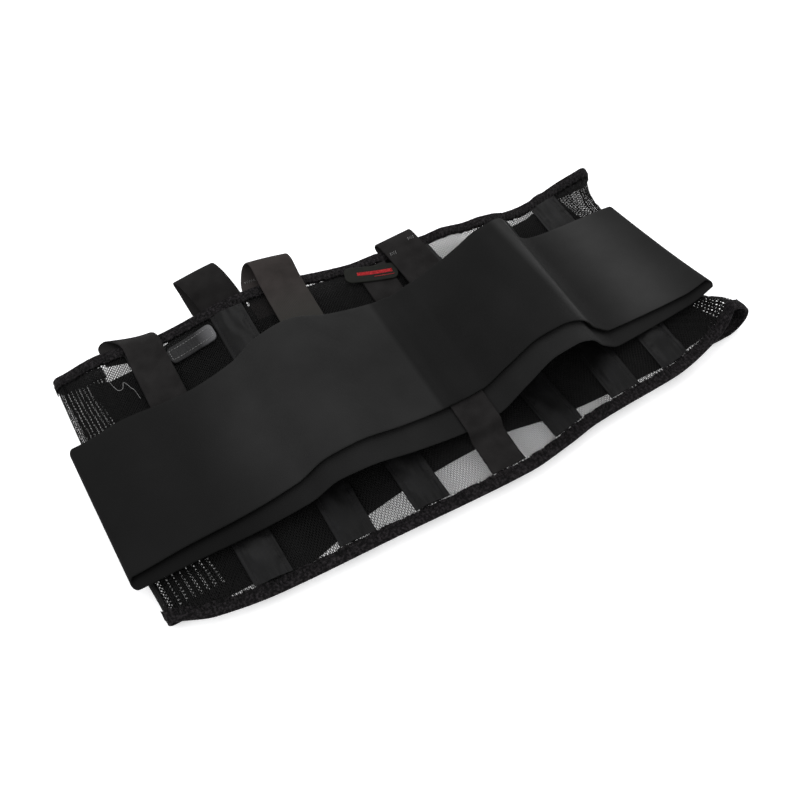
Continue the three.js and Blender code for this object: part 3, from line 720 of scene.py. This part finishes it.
# edge of the panel, way inward from it, height of the small waves where the cloth is slack, and
# the seeds of the tape and of its stitches
bindingSides = {
    "top_binding": {"edge": 1.0, "way": -1, "waves": 2.6, "seed": 8, "stitchSeed": 4},
    "bottom_binding": {"edge": 0.0, "way": 1, "waves": 0.0, "seed": 3, "stitchSeed": 5},
}


def bindingAt(along, side, reach, height):
    # a point of the tape: reach from the panel's edge, height from the middle of its wall
    edge, way = side["edge"], side["way"]
    span = np.linalg.norm(panelPoint(along, 1.0) - panelPoint(along, 0.0), axis=-1)
    across = edge + way * reach / span
    inner = np.clip(across, 0, 1)
    beyond = (across - inner) * span
    out = unit(panelPoint(along, edge) - panelPoint(along, edge + way * 0.02))
    square = panelSquare(np.clip(along, 0.005, 4.995), inner)
    return panelPoint(along, inner) - out * (way * beyond)[..., None] + square * height[..., None]


def bindingTape(name, side):
    runs = np.arange(0, ringRun[-1], bindingLook["step"])
    along = alongAt(runs)
    half, slot, width = bindingLook["half"], bindingLook["slot"], belt["bindingWidth"]
    nose = half - (gap + belt["bindingWall"])
    # columns: reach from the panel's edge, height, share of the pucker
    profile = [(reach, half, 1) for reach in np.linspace(width, nose, 12)]
    profile += [
        (nose - half * math.sin(t), half * math.cos(t), 0.6)
        for t in np.linspace(0, math.pi, 9)[1:-1]
    ]
    profile += [(reach, -half, 1) for reach in np.linspace(nose, width, 12)]
    profile += [(reach, -slot, 0) for reach in (width, width * 0.5, -gap)]
    profile += [(reach, slot, 0) for reach in (-gap, width * 0.5, width)]
    seed = side["seed"]
    still = 0 * runs
    waves = side["waves"] * np.maximum(patches(runs, still, bindingLook["waveSize"], seed + 5), 0)
    waves = waves * smoothstep(2.5, 2.56, along) * smoothstep(2.98, 2.93, along)
    sections = []
    for reach, height, play in profile:
        knurl = patches(runs, reach + still, bindingLook["loopSize"], seed)
        knurl = knurl + 0.7 * patches(runs, reach + still, bindingLook["lumpSize"], seed + 1)
        lift = play * bindingLook["pucker"] * (knurl - 0.6) * np.sign(height)
        inner = max(reach, 0) / width
        wander = patches(runs, still, bindingLook["raggedSize"], seed + 2)
        ragged = bindingLook["ragged"] * wander * inner**6
        sections.append(bindingAt(along, side, reach + ragged - waves, height + lift))
    sweptCloth(f"{name}_tape", np.stack(sections, 1), bindingKnit, [name])


def bindingStitches(name, side):
    # a zigzag with an uneven inner edge on both faces of the tape
    runs = np.arange(2, ringRun[-1] - 2, bindingLook["zigPitch"] / 2)
    inner = np.arange(len(runs)) % 2
    reach = np.where(inner, bindingLook["zigInner"], bindingLook["zigOuter"])
    draws = np.random.default_rng(side["stitchSeed"]).uniform(-1, 1, len(runs))
    reach = reach + bindingLook["zigWander"] * inner * draws
    heights = [face * (bindingLook["half"] + 0.02) + 0 * runs for face in (1, -1)]
    lines = [bindingAt(alongAt(runs), side, reach, height) for height in heights]
    points, faces = tubes(lines, bindingLook["thread"])
    addPiece(f"{name}_stitches", points, faces, blackThread)


for makeOne in (bindingTape, bindingStitches):
    for name, side in bindingSides.items():
        makeOne(name, side)
print("bindings ready")

# Stay channels.

# columns: where each stay meets the front edge and the back edge, as shares of half the length
stays = [
    (-0.695, -0.735),
    (-0.457, -0.46),
    (-0.235, -0.262),
    (0.226, 0.19),
    (0.444, 0.48),
    (0.64, 0.69),
]
channel = {
    "stations": 130,  # points along the tape, and across it
    "columns": 31,
    "length": 200,  # near enough, for the pitch of its gathers
    "seam": 2.2,  # from the tape's edge to the stitch line
    "groove": 0.7,  # depth of the line that the stitches press in, and half its width
    "stayWidth": 12.0,
    "stayEdge": 0.25,  # how far the stay prints through
    "pucker": 0.6,  # small gathers beside the seams
    "puckerSize": 2.6,
    "slack": 0.95,  # shallow wrinkles of the whole tape
    "slackSize": 4.2,
    "gather": 0.5,  # where the binding holds its ends
    "deepest": 0.75,
    "stitch": 2.6,
    "stitchLength": 1.9,
    "stitchRise": 0.22,
    "thread": 0.2,
}


def tapeGrid(ends, width, stations, count):
    # middle of the tape's underside along Y between the bindings
    inside = belt["bindingWidth"] + gap
    along = np.linspace(0, 1, stations)[:, None]
    across = np.linspace(-1, 1, count)[None, :]
    offset = across * width / 2
    low, high = ends[0] * halfLength + offset, ends[1] * halfLength + offset
    x = lerp(low, high, along)
    y = lerp(panelY(low, "front") + inside, panelY(high, "back") - inside, along)
    return x, y, along * np.ones_like(x), across * np.ones_like(x)


def stayChannel(name, number, ends):
    x, y, along, across = tapeGrid(
        ends, belt["stayWidth"], channel["stations"], channel["columns"]
    )
    base = panelZ(x, y) + belt["panelWall"] / 2 + gap
    half = belt["stayWidth"] / 2
    seam = half - channel["seam"]
    offset = np.abs(across) * half
    run = along * channel["length"]
    # the stay lifts the middle, and the stitches pull the edges down
    crown = belt["stayCrown"] * (1 - across**2)
    groove = -channel["groove"] * np.exp(-(((offset - seam) / channel["groove"]) ** 2))
    stayHalf = channel["stayWidth"] / 2
    stayEdge = channel["stayEdge"] * (smoothstep(stayHalf + 1.5, stayHalf - 0.5, offset) - 1)
    nearSeam = np.exp(-(((offset - seam) / 3.2) ** 2))
    small = patches(run, offset * 0.3, channel["puckerSize"], number) - 0.5
    large = patches(run * 0.32 + 2 * across, across * 9, channel["slackSize"], number + 20) - 0.5
    free = smoothstep(0.0, 0.05, along) * smoothstep(1.0, 0.95, along)
    gathers = channel["gather"] * (free - 1) * (0.5 + 0.5 * np.sin(across * 14 + number))
    rise = crown + groove + stayEdge + gathers
    rise = rise + channel["pucker"] * small * nearSeam + channel["slack"] * large
    wall = belt["stayWall"] + np.maximum(rise, -channel["deepest"])
    middle = np.stack([x, y, base + wall / 2], -1)
    sections = roundedCloth(middle, upward(middle), wall)
    sweptCloth(f"{name}_tape", sections, channelTape, [name])
    lines = []
    for side in (-1, 1):
        column = int(round((side * seam / half + 1) / 2 * (channel["columns"] - 1)))
        line = middle[:, column] + [0, 0, 1] * (wall[:, column, None] / 2)
        lines += dashes(
            line, upward(line), channel["stitch"], channel["stitchLength"], channel["stitchRise"]
        )
    points, faces = tubes(lines, channel["thread"])
    addPiece(f"{name}_stitches", points, faces, blackThread)


for number, ends in enumerate(stays, 1):
    stayChannel(f"stay_channel_{number}", number, ends)
print("stay channels ready")

# Elastic pull bands.

# where the centre webbing meets the front edge and the back edge, as shares of half the length
webbing = (0.006, 0.026)
# columns: share of the band's reach, front rise, back rise
leftArch = [
    (0.0, 0.0, 0.0),
    (0.06, 0.02, 0.02),
    (0.2, 0.16, 0.16),
    (0.34, 0.38, 0.46),
    (0.42, 0.4, 0.4),
    (0.51, 0.12, 0.12),
    (0.66, 0.04, 0.03),
    (1.0, 0.0, 0.0),
]
rightArch = [
    (0.0, 0.0, 0.0),
    (0.08, 0.06, 0.12),
    (0.18, 0.52, 0.38),
    (0.29, 0.98, 0.72),
    (0.37, 1.0, 0.94),
    (0.44, 0.84, 0.98),
    (0.52, 0.36, 0.34),
    (0.61, 0.03, 0.05),
    (1.0, 0.0, 0.0),
]
# front edges of the band layers: at the centre, and at the folded end
bands = {
    "left": {
        "sign": -1, "reach": 250.5, "slant": 4.0, "arch": leftArch,
        "upper": (-0.41, -0.48), "lower": (-0.61, -0.555),
    },
    "right": {
        "sign": 1, "reach": 209.0, "slant": -9.0, "arch": rightArch,
        "upper": (-0.41, -0.45), "lower": (-0.61, -0.51),
    },
}
# painted light and shade on each band's layers, with a narrow painted highlight on the right arch's
# crease: how far each stop is from the centre, and its share of the tone
lowerPaintedLight = {
    "left": [(0, 0.36), (60, 0.42), (120, 0.32), (190, 0.1), (238, 0.1)],
    "right": [(0, 0.3), (60, 0.4), (95, 0.5), (128, 0.3), (170, 0.3), (238, 0.25)],
}
upperPaintedLight = {
    "left": [(238, 0.19), (190, 0.22), (120, 0.6), (60, 0.66), (16, 0.6), (12.5, 0.28), (0, 0.22)],
    "right": [
        (238, 0.5), (170, 0.96), (128, 0.38), (101, 0.32), (95, 1.0), (88, 0.28), (50, 0.24),
        (0, 0.22),
    ],
}
band = {
    "seenWall": 1.25,  # the elastic is thinner than its solid, so that its edges read as crisp
    "steps": 110,  # stations of each layer
    "columns": 41,  # points across it
    "endRound": 3.0,  # how far the fold stands out past the layers
    "pressed": 0.35,  # how far the upper layer is pressed down on the lower one
    "step": 0.5,  # height of the webbing's print in the upper layer
    "stepHalf": (15.5, 12),  # foot and top of that print, from the webbing's middle
}


def bandFront(name, layer, share):
    centre, end = bands[name][layer]
    return lerp(centre, end, share) * halfHeight


archCurves = {
    name: (curveThrough(bands[name]["arch"], 1), curveThrough(bands[name]["arch"], 2))
    for name in bands
}


def lowerBandZ(name, x, y):
    sign, reach = bands[name]["sign"], bands[name]["reach"]
    share = np.clip(sign * x / reach, 0, 1)
    front = bandFront(name, "lower", share)
    seat = stayTop + gap + belt["bandWall"] / 2 + gap
    frontArch, backArch = archCurves[name]
    low = panelZ(x, front) + seat + frontArch(share) * belt["bandLoft"]
    high = panelZ(x, front + belt["bandWidth"]) + seat + backArch(share) * belt["bandLoft"]
    return lerp(low, high, (y - front) / belt["bandWidth"])


def bandMiddle(name):
    # middle of the band's wall, stations by points across, round the fold
    sign, slant = bands[name]["sign"], bands[name]["slant"]
    across = np.linspace(0, 1, band["columns"])[None, :]
    reach = bands[name]["reach"] - slant * (1 - across)
    share = np.linspace(0, 1, band["steps"] + 1)[:, None]

    def layerPoints(layer):
        y = bandFront(name, layer, share) + across * belt["bandWidth"]
        x = sign * (share * (reach - band["endRound"]))
        at = np.stack([x, y, lowerBandZ(name, x, y)], -1)
        if layer == "lower":
            return at
        # the webbing between the layers shows as a low step in the upper one
        rise = lowerBandZ(name, x + 1, y) - lowerBandZ(name, x - 1, y)
        square = unit(np.stack([-rise, 0 * rise, 2 + 0 * rise], -1))
        centre = lerp(webbing[0], webbing[1], y / belt["bandWidth"] + 0.5) * halfLength
        over = smoothstep(*band["stepHalf"], np.abs(x - centre))
        return at + square * (layerPitch - band["pressed"] + band["step"] * over[..., None])

    lower, upper = layerPoints("lower"), layerPoints("upper")
    bend = []
    for t in np.linspace(0, 1, 10)[1:-1]:
        angle = math.pi * t
        at = lerp(lower[-1], upper[-1], (1 - math.cos(angle)) / 2)
        at[:, 0] += sign * band["endRound"] * math.sin(angle)
        bend.append(at)
    return np.concatenate([lower, np.array(bend), upper[::-1]])


def bandPaintedLight(name, run, x):
    # the stops of the painted light and shade as lengths along the elastic, out on the lower layer
    # and back on the upper one
    half = len(x) // 2
    stops = []
    for first, paintedShading in ((0, lowerPaintedLight[name]), (half, upperPaintedLight[name])):
        for away, tone in paintedShading:
            station = first + int(np.argmin(np.abs(np.abs(x[first : first + half]) - away)))
            least = stops[-1][0] + 1 if stops else 0.0
            stops.append((max(float(run[station]), least), tone))
    return stops


def pullBand(name):
    middle = bandMiddle(name)
    run = np.gradient(middle, axis=0)
    square = unit(np.stack([-run[..., 2], 0 * run[..., 0], run[..., 0]], -1))
    sections = roundedCloth(middle, square, band["seenWall"], edgeSteps=4)
    centre = middle[:, band["columns"] // 2]
    # the elastic's colour carries painted light and shade along its length
    look = dict(elastic, paintedLight=bandPaintedLight(name, runAlong(centre), centre[:, 0]))
    cloth = clothMaterial(f"woven_rubber_elastic_{name}", look)
    node = f"{name}_pull_band"
    piece = sweptCloth(f"{node}_elastic", sections, cloth, [node])


for name in bands:
    pullBand(name)
print("bands ready")

# Centre webbing.

webbingLook = {
    "stations": 150,
    "columns": 15,
    "climb": (9, 2),  # it climbs over the band's edges, from 9 to 2 mm outside them
    "wrinkle": 0.12,
    "wrinkleSize": 7,
    "wrinkleSeed": 3,
}


def centreWebbing():
    x, y, _, across = tapeGrid(
        webbing, belt["webbingWidth"], webbingLook["stations"], webbingLook["columns"]
    )
    bandLow = bandFront("right", "lower", 0.0)
    bandHigh = bandLow + belt["bandWidth"]
    low = panelZ(x, y) + belt["panelWall"] / 2 + gap
    high = np.where(x < 0, lowerBandZ("left", x, y), lowerBandZ("right", x, y))
    high = high + belt["bandWall"] / 2 + gap
    far, near = webbingLook["climb"]
    onBand = smoothstep(bandLow - far, bandLow - near, y)
    onBand = onBand * smoothstep(bandHigh + far, bandHigh + near, y)
    wrinkles = patches(x, y, webbingLook["wrinkleSize"], webbingLook["wrinkleSeed"]) - 1
    wall = belt["webbingWall"] + webbingLook["wrinkle"] * wrinkles * (1 - across**4)
    middle = np.stack([x, y, lerp(low, high, onBand) + wall / 2], -1)
    sections = roundedCloth(middle, upward(middle), wall)
    sweptCloth("centre_webbing_tape", sections, webbingWeave, ["centre_webbing"])


centreWebbing()
print("webbing ready")

# Strap loops.

# columns: share of half the length, reach past the edge, rise, level, turn
strapLoops = {
    "strap_loop_1": [
        (-0.728, -2.1, 0.0, "over", 0),
        (-0.728, -1.4, 0.0, "over", 0),
        (-0.728, -0.7, 0.0, "over", 0),
        (-0.728, -0.1, 0.0, "over", 0),
        (-0.742, 0.15, 0.02, "free", -0.05),
        (-0.772, 0.24, -0.05, "free", -0.24),
        (-0.79, 0.16, 0.0, "under", -0.24),
        (-0.792, -0.12, 0.0, "under", -0.2),
        (-0.793, -0.36, 0.0, "under", -0.16),
    ],
    "strap_loop_2": [
        (-0.458, -0.8, 0.0, "under", 0),
        (-0.458, -0.4, 0.0, "under", 0),
        (-0.456, 0.05, 0.0, "under", 0),
        (-0.475, 0.5, 0.24, "free", 0),
        (-0.49, 0.8, 0.32, "free", 0),
        (-0.495, 0.89, 0.24, "free", 0),
        (-0.49, 0.77, 0.03, "free", 0),
        (-0.485, 0.4, -0.15, "free", 0),
        (-0.48, 0.05, -0.1, "lowest", 0),
        (-0.47, -0.4, -0.04, "lowest", 0),
        (-0.46, -0.8, 0.0, "lowest", 0),
    ],
    "strap_loop_3": [
        (-0.272, -2.0, 0.0, "over", 0),
        (-0.272, -1.4, 0.0, "over", 0),
        (-0.27, -0.7, 0.0, "over", 0),
        (-0.268, -0.1, 0.02, "over", 0),
        (-0.267, 0.35, 0.3, "free", 0),
        (-0.272, 0.52, 0.26, "free", 0),
        (-0.285, 0.57, 0.1, "free", 0),
        (-0.305, 0.38, -0.08, "free", 0),
        (-0.318, 0.08, 0.0, "under", 0),
        (-0.32, -0.4, 0.0, "under", 0),
        (-0.32, -0.8, 0.0, "under", 0),
    ],
    "strap_loop_4": [
        (0.165, -1.8, 0.0, "over", 0),
        (0.164, -1.2, 0.0, "over", 0),
        (0.16, -0.6, 0.0, "over", 0),
        (0.156, -0.1, 0.0, "over", 0),
        (0.154, 0.27, 0.06, "free", 0.08),
        (0.152, 0.32, -0.06, "free", 0.08),
        (0.15, 0.06, 0.0, "under", 0),
        (0.148, -0.4, 0.0, "under", 0),
        (0.148, -0.9, 0.0, "under", 0),
    ],
}
strapLook = {
    "seenWall": 1.15,
    "columns": 15,
    "steps": 90,
    "tackPitch": 0.35,  # points of a tack's zigzag, in columns of the strap
    "tackHalf": 1.1,  # half its height, in stations
    "tackThread": 0.2,
}
# columns: station along the strap, first and last place across it, side of the strap
tacks = {
    "strap_loop_3": [(66, 1, 5, -1)],
    "strap_loop_4": [(30, 1, 3.5, 1), (36, 10.5, 13, 1)],
}
# a loose end of sewing thread
looseThread = {
    # points on the cloth beside the first strap, chosen one by one
    "places": [
        (-208.3, 94.0), (-207.0, 88.0), (-204.6, 83.0), (-202.0, 83.4), (-199.6, 88.4),
        (-198.0, 86.0), (-196.6, 82.0), (-195.2, 79.5), (-194.4, 75.0), (-193.9, 70.5),
    ],
    "lift": 0.5,
    "thread": 0.15,
}


def throughPoints(points, t):
    # centripetal curve through points, as the part's straps use; t is from 0 to 1
    points = np.asarray(points, float)
    count = len(points)
    padded = np.concatenate(
        [[2 * points[0] - points[1]], points, [2 * points[-1] - points[-2]]]
    )
    place = np.clip(np.asarray(t) * (count - 1), 0, count - 1 - 1e-9)
    i = np.floor(place).astype(int)
    w = (place - i)[:, None]
    p0, p1, p2, p3 = (padded[i + n] for n in range(4))
    d0, d1, d2 = (
        np.sqrt(np.linalg.norm(b - a, axis=1, keepdims=True))
        for a, b in ((p0, p1), (p1, p2), (p2, p3))
    )
    t1 = ((p1 - p0) / d0 - (p2 - p0) / (d0 + d1) + (p2 - p1) / d1) * d1
    t2 = ((p2 - p1) / d1 - (p3 - p1) / (d1 + d2) + (p3 - p2) / d2) * d1
    c2 = -3 * p1 + 3 * p2 - 2 * t1 - t2
    c3 = 2 * p1 - 2 * p2 + t1 + t2
    return p1 + t1 * w + c2 * w**2 + c3 * w**3


def strapMiddle(rows, width):
    under = -bindingHalf - gap - belt["strapWall"] / 2
    levels = {
        "over": stayTop + gap + belt["strapWall"] / 2,
        "free": 0.0,
        "under": under,
        "lowest": under - gap - belt["strapWall"],
    }
    lines = []
    for across in np.linspace(-1, 1, strapLook["columns"]):
        points = []
        for at, out, up, level, turn in rows:
            offset = across * width / 2
            x = at * halfLength + offset
            edge = float(panelY(x, "back"))
            y = edge + gap + belt["bindingWall"] + out * belt["loopReach"] + turn * offset
            z = float(panelZ(x, min(y, edge))) + levels[level] + up * belt["loopReach"]
            points.append((x, y, z))
        lines.append(throughPoints(points, np.linspace(0, 1, strapLook["steps"] + 1)))
    return np.stack(lines, 1)


def tackLine(middle, square, station, first, last, face):
    # a zigzag across the strap, on one of its faces
    points = []
    for n, column in enumerate(np.arange(first, last, strapLook["tackPitch"])):
        at = station + (strapLook["tackHalf"] if n % 2 else -strapLook["tackHalf"])
        low, side = int(at), int(column)
        before, after = (
            lerp(middle[low, place], middle[low + 1, place], at - low) for place in (side, side + 1)
        )
        lift = face * (strapLook["seenWall"] / 2 + 0.1)
        points.append(lerp(before, after, column - side) + square[low, side] * lift)
    return points


def strap(name, rows):
    middle = strapMiddle(rows, belt["narrowStrap" if name == "strap_loop_1" else "strapWidth"])
    run = np.gradient(middle, axis=0)
    width = middle[:, -1:] - middle[:, :1]
    square = unit(np.cross(np.broadcast_to(width, run.shape), run))
    sections = roundedCloth(middle, square, strapLook["seenWall"])
    cloth = paleWebbing if name == "strap_loop_3" else webbingWeave
    sweptCloth(f"{name}_webbing", sections, cloth, [name])
    if name in tacks:
        lines = [tackLine(middle, square, *tack) for tack in tacks[name]]
        points, faces = tubes(lines, strapLook["tackThread"])
        addPiece(f"{name}_tacks", points, faces, paleThread)


def looseEnd():
    line = throughPoints([(x, y, 0.0) for x, y in looseThread["places"]], np.linspace(0, 1, 60))
    line[:, 2] = panelZ(line[:, 0], line[:, 1]) + looseThread["lift"]
    points, faces = tubes([line], looseThread["thread"])
    addPiece("loose_thread", points, faces, paleThread)


for name, rows in strapLoops.items():
    strap(name, rows)
looseEnd()
print("straps ready")

# Closure flaps.

# columns: share of half the length, front edge, back edge
leftFlap = [
    (-0.725, -0.87, 0.965),
    (-0.69, -0.868, 1.03),
    (-0.6, -0.845, 1.09),
    (-0.5, -0.79, 1.09),
    (-0.4, -0.735, 1.085),
    (-0.27, -0.695, 1.065),
    (-0.1, -0.676, 1.02),
    (0.12, -0.665, 0.92),
]
rightFlap = [
    (-0.16, -0.65, 0.66),
    (0.07, -0.671, 0.72),
    (0.2, -0.717, 0.75),
    (0.32, -0.745, 0.77),
    (0.48, -0.76, 0.79),
    (0.62, -0.765, 0.81),
]
flap = {
    "seam": 14.0,  # overlap of each flap with the hem
    "tuck": 1.5,  # what each flap keeps of its sewn width inside the hem
    "notch": {"left": 5.0, "right": 0.0},  # cut from the flap's top corner beside the hem
    "climb": 26.0,  # length over which one flap climbs onto the other
    "steps": 12,  # stations from one row of its table to the next
    "columns": 45,  # points across it
}


def closureFlap(name, shape):
    sign = foldEnds[name][0]
    inside = belt["bindingWidth"] + 2 * gap

    def tucked(beyond, notch):
        low, high = foldPlaces(name, np.float64(0)), foldPlaces(name, np.float64(1))
        top = (high[2] + sign * beyond, high[3] - inside - notch)
        return (low[2] + sign * beyond, low[3] + inside), top

    free = [
        ((at * halfLength, front * halfHeight), (at * halfLength, back * halfHeight))
        for at, front, back in shape
    ]
    sewn = [tucked(flap["seam"], 0), tucked(-flap["tuck"], flap["notch"][name])]
    stations = sewn + free if sign < 0 else free + sewn[::-1]
    lines = []
    for a, b in zip(stations, stations[1:]):
        steps = np.linspace(0, 1, flap["steps"] + 1)[:-1]
        lines += [lerp(np.array(a), np.array(b), t) for t in steps]
    lines.append(np.array(stations[-1]))
    lines = np.array(lines)
    flat = lerp(lines[:, :1], lines[:, 1:], np.linspace(0, 1, flap["columns"])[None, :, None])
    x = flat[..., 0]
    climb = 0 * x
    if name == "right":
        landing = leftFlap[-1][0] * halfLength
        share = np.clip(1 - (x - landing - 1) / flap["climb"], 0, 1)
        climb = share * (belt["flapWall"] + gap)
    middle = np.concatenate([flat, (climb + belt["flapWall"] / 2)[..., None]], -1)
    sections = roundedCloth(middle, upward(middle), belt["flapWall"])
    node = f"{name}_closure_flap"
    piece = sweptCloth(f"{node}_cloth", sections, brushedLoop, [node])


closureFlap("left", leftFlap)
closureFlap("right", rightFlap)
print("flaps ready")

# Label and hook patch.

label = {
    "length": 42.0,
    "width": 15.0,
    "wall": 1.0,
    "turn": -17,
    "corner": 5.0,
    "at": (0.012, 0.82),  # shares of half the length and half the height
    # columns: start, end, place across the label, count of threads
    "bars": [(-11, 17, 0.6, 13), (2, 18, -3.4, 2)],
    "threadPitch": 0.26,
    "thread": 0.13,
}
patch = {
    "width": 14.0,
    "wall": 1.6,
    "turn": 3,
    "corner": 4.0,
    "up": 0.855,  # share of half the height
    "clear": 2.0,  # from the stay channels beside it
    "rim": 3,  # points of its grid from the edge to the stitches
    "stitch": 2.4,
    "stitchLength": 1.8,
    "stitchRise": 0.25,
    "thread": 0.17,
}


def turned(centre, degrees, a, b):
    # places along and across a piece of trim, turned about its centre
    angle = math.radians(degrees)
    x = centre[0] + a * math.cos(angle) - b * math.sin(angle)
    y = centre[1] + a * math.sin(angle) + b * math.cos(angle)
    return x, y


def trimGrid(centre, length, look, stations, count, lift):
    # middle of a flat piece of trim with rounded corners, laid at one height over the panel
    corner = look["corner"]
    a = np.linspace(-1, 1, stations)[:, None] * np.ones((1, count)) * length / 2
    past = np.maximum(np.abs(a) - (length / 2 - corner), 0)
    inset = corner - np.sqrt(np.maximum(corner**2 - past**2, 0))
    b = np.linspace(-1, 1, count)[None, :] * (look["width"] / 2 - inset)
    x, y = turned(centre, look["turn"], a, b)
    return np.stack([x, y, panelZ(x, y) + lift + look["wall"] / 2], -1)


def wovenLabel():
    centre = (label["at"][0] * halfLength, label["at"][1] * halfHeight)
    middle = trimGrid(centre, label["length"], label, 70, 15, bindingHalf + gap)
    sections = roundedCloth(middle, upward(middle), label["wall"])
    sweptCloth("woven_label_cloth", sections, labelDamask, ["woven_label"])
    bars = []
    for low, high, row, threads in label["bars"]:
        for n in range(threads):
            across = row + (n - threads / 2) * label["threadPitch"]
            x, y = turned(centre, label["turn"], np.linspace(low, high, 24), across)
            z = panelZ(x, y) + bindingHalf + gap + label["wall"] + 0.06
            bars.append(np.stack([x, y, z], 1))
    points, faces = tubes(bars, label["thread"], sides=3)
    addPiece("woven_label_bars", points, faces, labelRed)


def stayMiddle(ends, y):
    # middle of a stay channel at one height across the panel
    inside = belt["bindingWidth"] + gap
    low, high = ends[0] * halfLength, ends[1] * halfLength
    start, stop = panelY(low, "front") + inside, panelY(high, "back") - inside
    return lerp(low, high, (y - start) / (stop - start))


def hookPatch():
    # it fills the space between the first two channels
    y = patch["up"] * halfHeight
    left = stayMiddle(stays[0], y) + belt["stayWidth"] / 2 + patch["clear"]
    right = stayMiddle(stays[1], y) - belt["stayWidth"] / 2 - patch["clear"]
    lift = belt["panelWall"] / 2 + gap
    middle = trimGrid(((left + right) / 2, y), right - left, patch, 60, 17, lift)
    sections = roundedCloth(middle, upward(middle), patch["wall"])
    sweptCloth("hook_patch_tape", sections, hookNylon, ["hook_patch"])
    # pale stitches round its rim
    rim = patch["rim"]
    line = np.concatenate([
        middle[rim:-rim, rim], middle[-rim - 1, rim:-rim], middle[rim:-rim, -rim - 1][::-1],
        middle[rim, rim:-rim][::-1],
    ]) + [0, 0, patch["wall"] / 2]
    stitches = dashes(
        line, upward(line), patch["stitch"], patch["stitchLength"], patch["stitchRise"]
    )
    points, faces = tubes(stitches, patch["thread"])
    addPiece("hook_patch_stitches", points, faces, paleThread)


wovenLabel()
hookPatch()
print("trim ready")

# Floor, light and camera, in metres.

studio = {
    "floorHalf": 3.0,
    "glow": 0.35,  # the sheet's own light, which keeps it as white as in a lit tent
    "sky": 0.95,
    # name, place, size and power of each softbox; both point at the origin
    "softboxes": [
        ("softbox_back", (0.3, 1.1, 1.5), 1.4, 16), ("softbox_left", (-1.3, -0.2, 1.3), 1.2, 7)
    ],
    "lens": 37.26,
    "sensor": 36.0,
    "camera": (-0.197, -0.3, 0.5),
    "lookDown": 56.5,
    "lookRight": 30,
}


def makeFloor():
    mesh = bpy.data.meshes.new("floor")
    s = studio["floorHalf"]
    mesh.from_pydata([(-s, -s, 0), (s, -s, 0), (s, s, 0), (-s, s, 0)], [], [(0, 1, 2, 3)])
    floor = bpy.data.objects.new("floor", mesh)
    scene.collection.objects.link(floor)
    # paper: matt white with a faint grain, so that only the belt's shadow shows on it
    material = bpy.data.materials.new("white_paper_sweep")
    material.use_nodes = True
    tree = material.node_tree
    shader = tree.nodes["Principled BSDF"]
    shader.inputs["Roughness"].default_value = 0.9
    shader.inputs["Specular IOR Level"].default_value = 0.0
    grain = addNode(tree, "ShaderNodeTexNoise", {"Scale": 900.0})
    tone = addNode(tree, "ShaderNodeValToRGB", None, {"Fac": grain.outputs["Fac"]})
    tone.color_ramp.elements[0].color = linear("f2f2f3")
    tone.color_ramp.elements[1].color = linear("f6f6f7")
    tree.links.new(tone.outputs["Color"], shader.inputs["Base Color"])
    shader.inputs["Emission Color"].default_value = linear("ffffff")
    shader.inputs["Emission Strength"].default_value = studio["glow"]
    mesh.materials.append(material)


def areaLight(name, place, size, power):
    light = bpy.data.lights.new(name, "AREA")
    light.size = size
    light.energy = power
    lamp = bpy.data.objects.new(name, light)
    scene.collection.objects.link(lamp)
    lamp.location = place
    x, y, z = place
    lamp.rotation_euler = (math.atan2(math.hypot(x, y), z), 0, math.atan2(x, -y))


makeFloor()
for softbox in studio["softboxes"]:
    areaLight(*softbox)

world = bpy.data.worlds.new("studio")
scene.world = world
world.use_nodes = True
world.node_tree.nodes["Background"].inputs["Color"].default_value = (1, 1, 1, 1)
world.node_tree.nodes["Background"].inputs["Strength"].default_value = studio["sky"]

lens = bpy.data.cameras.new("camera")
lens.lens = studio["lens"]
lens.sensor_width = studio["sensor"]
camera = bpy.data.objects.new("camera", lens)
scene.collection.objects.link(camera)
camera.location = studio["camera"]
camera.rotation_euler = (
    math.radians(90 - studio["lookDown"]), 0, math.radians(-studio["lookRight"])
)
scene.camera = camera
scene.view_settings.view_transform = "Standard"
scene.view_settings.look = "None"

print("scene ready")
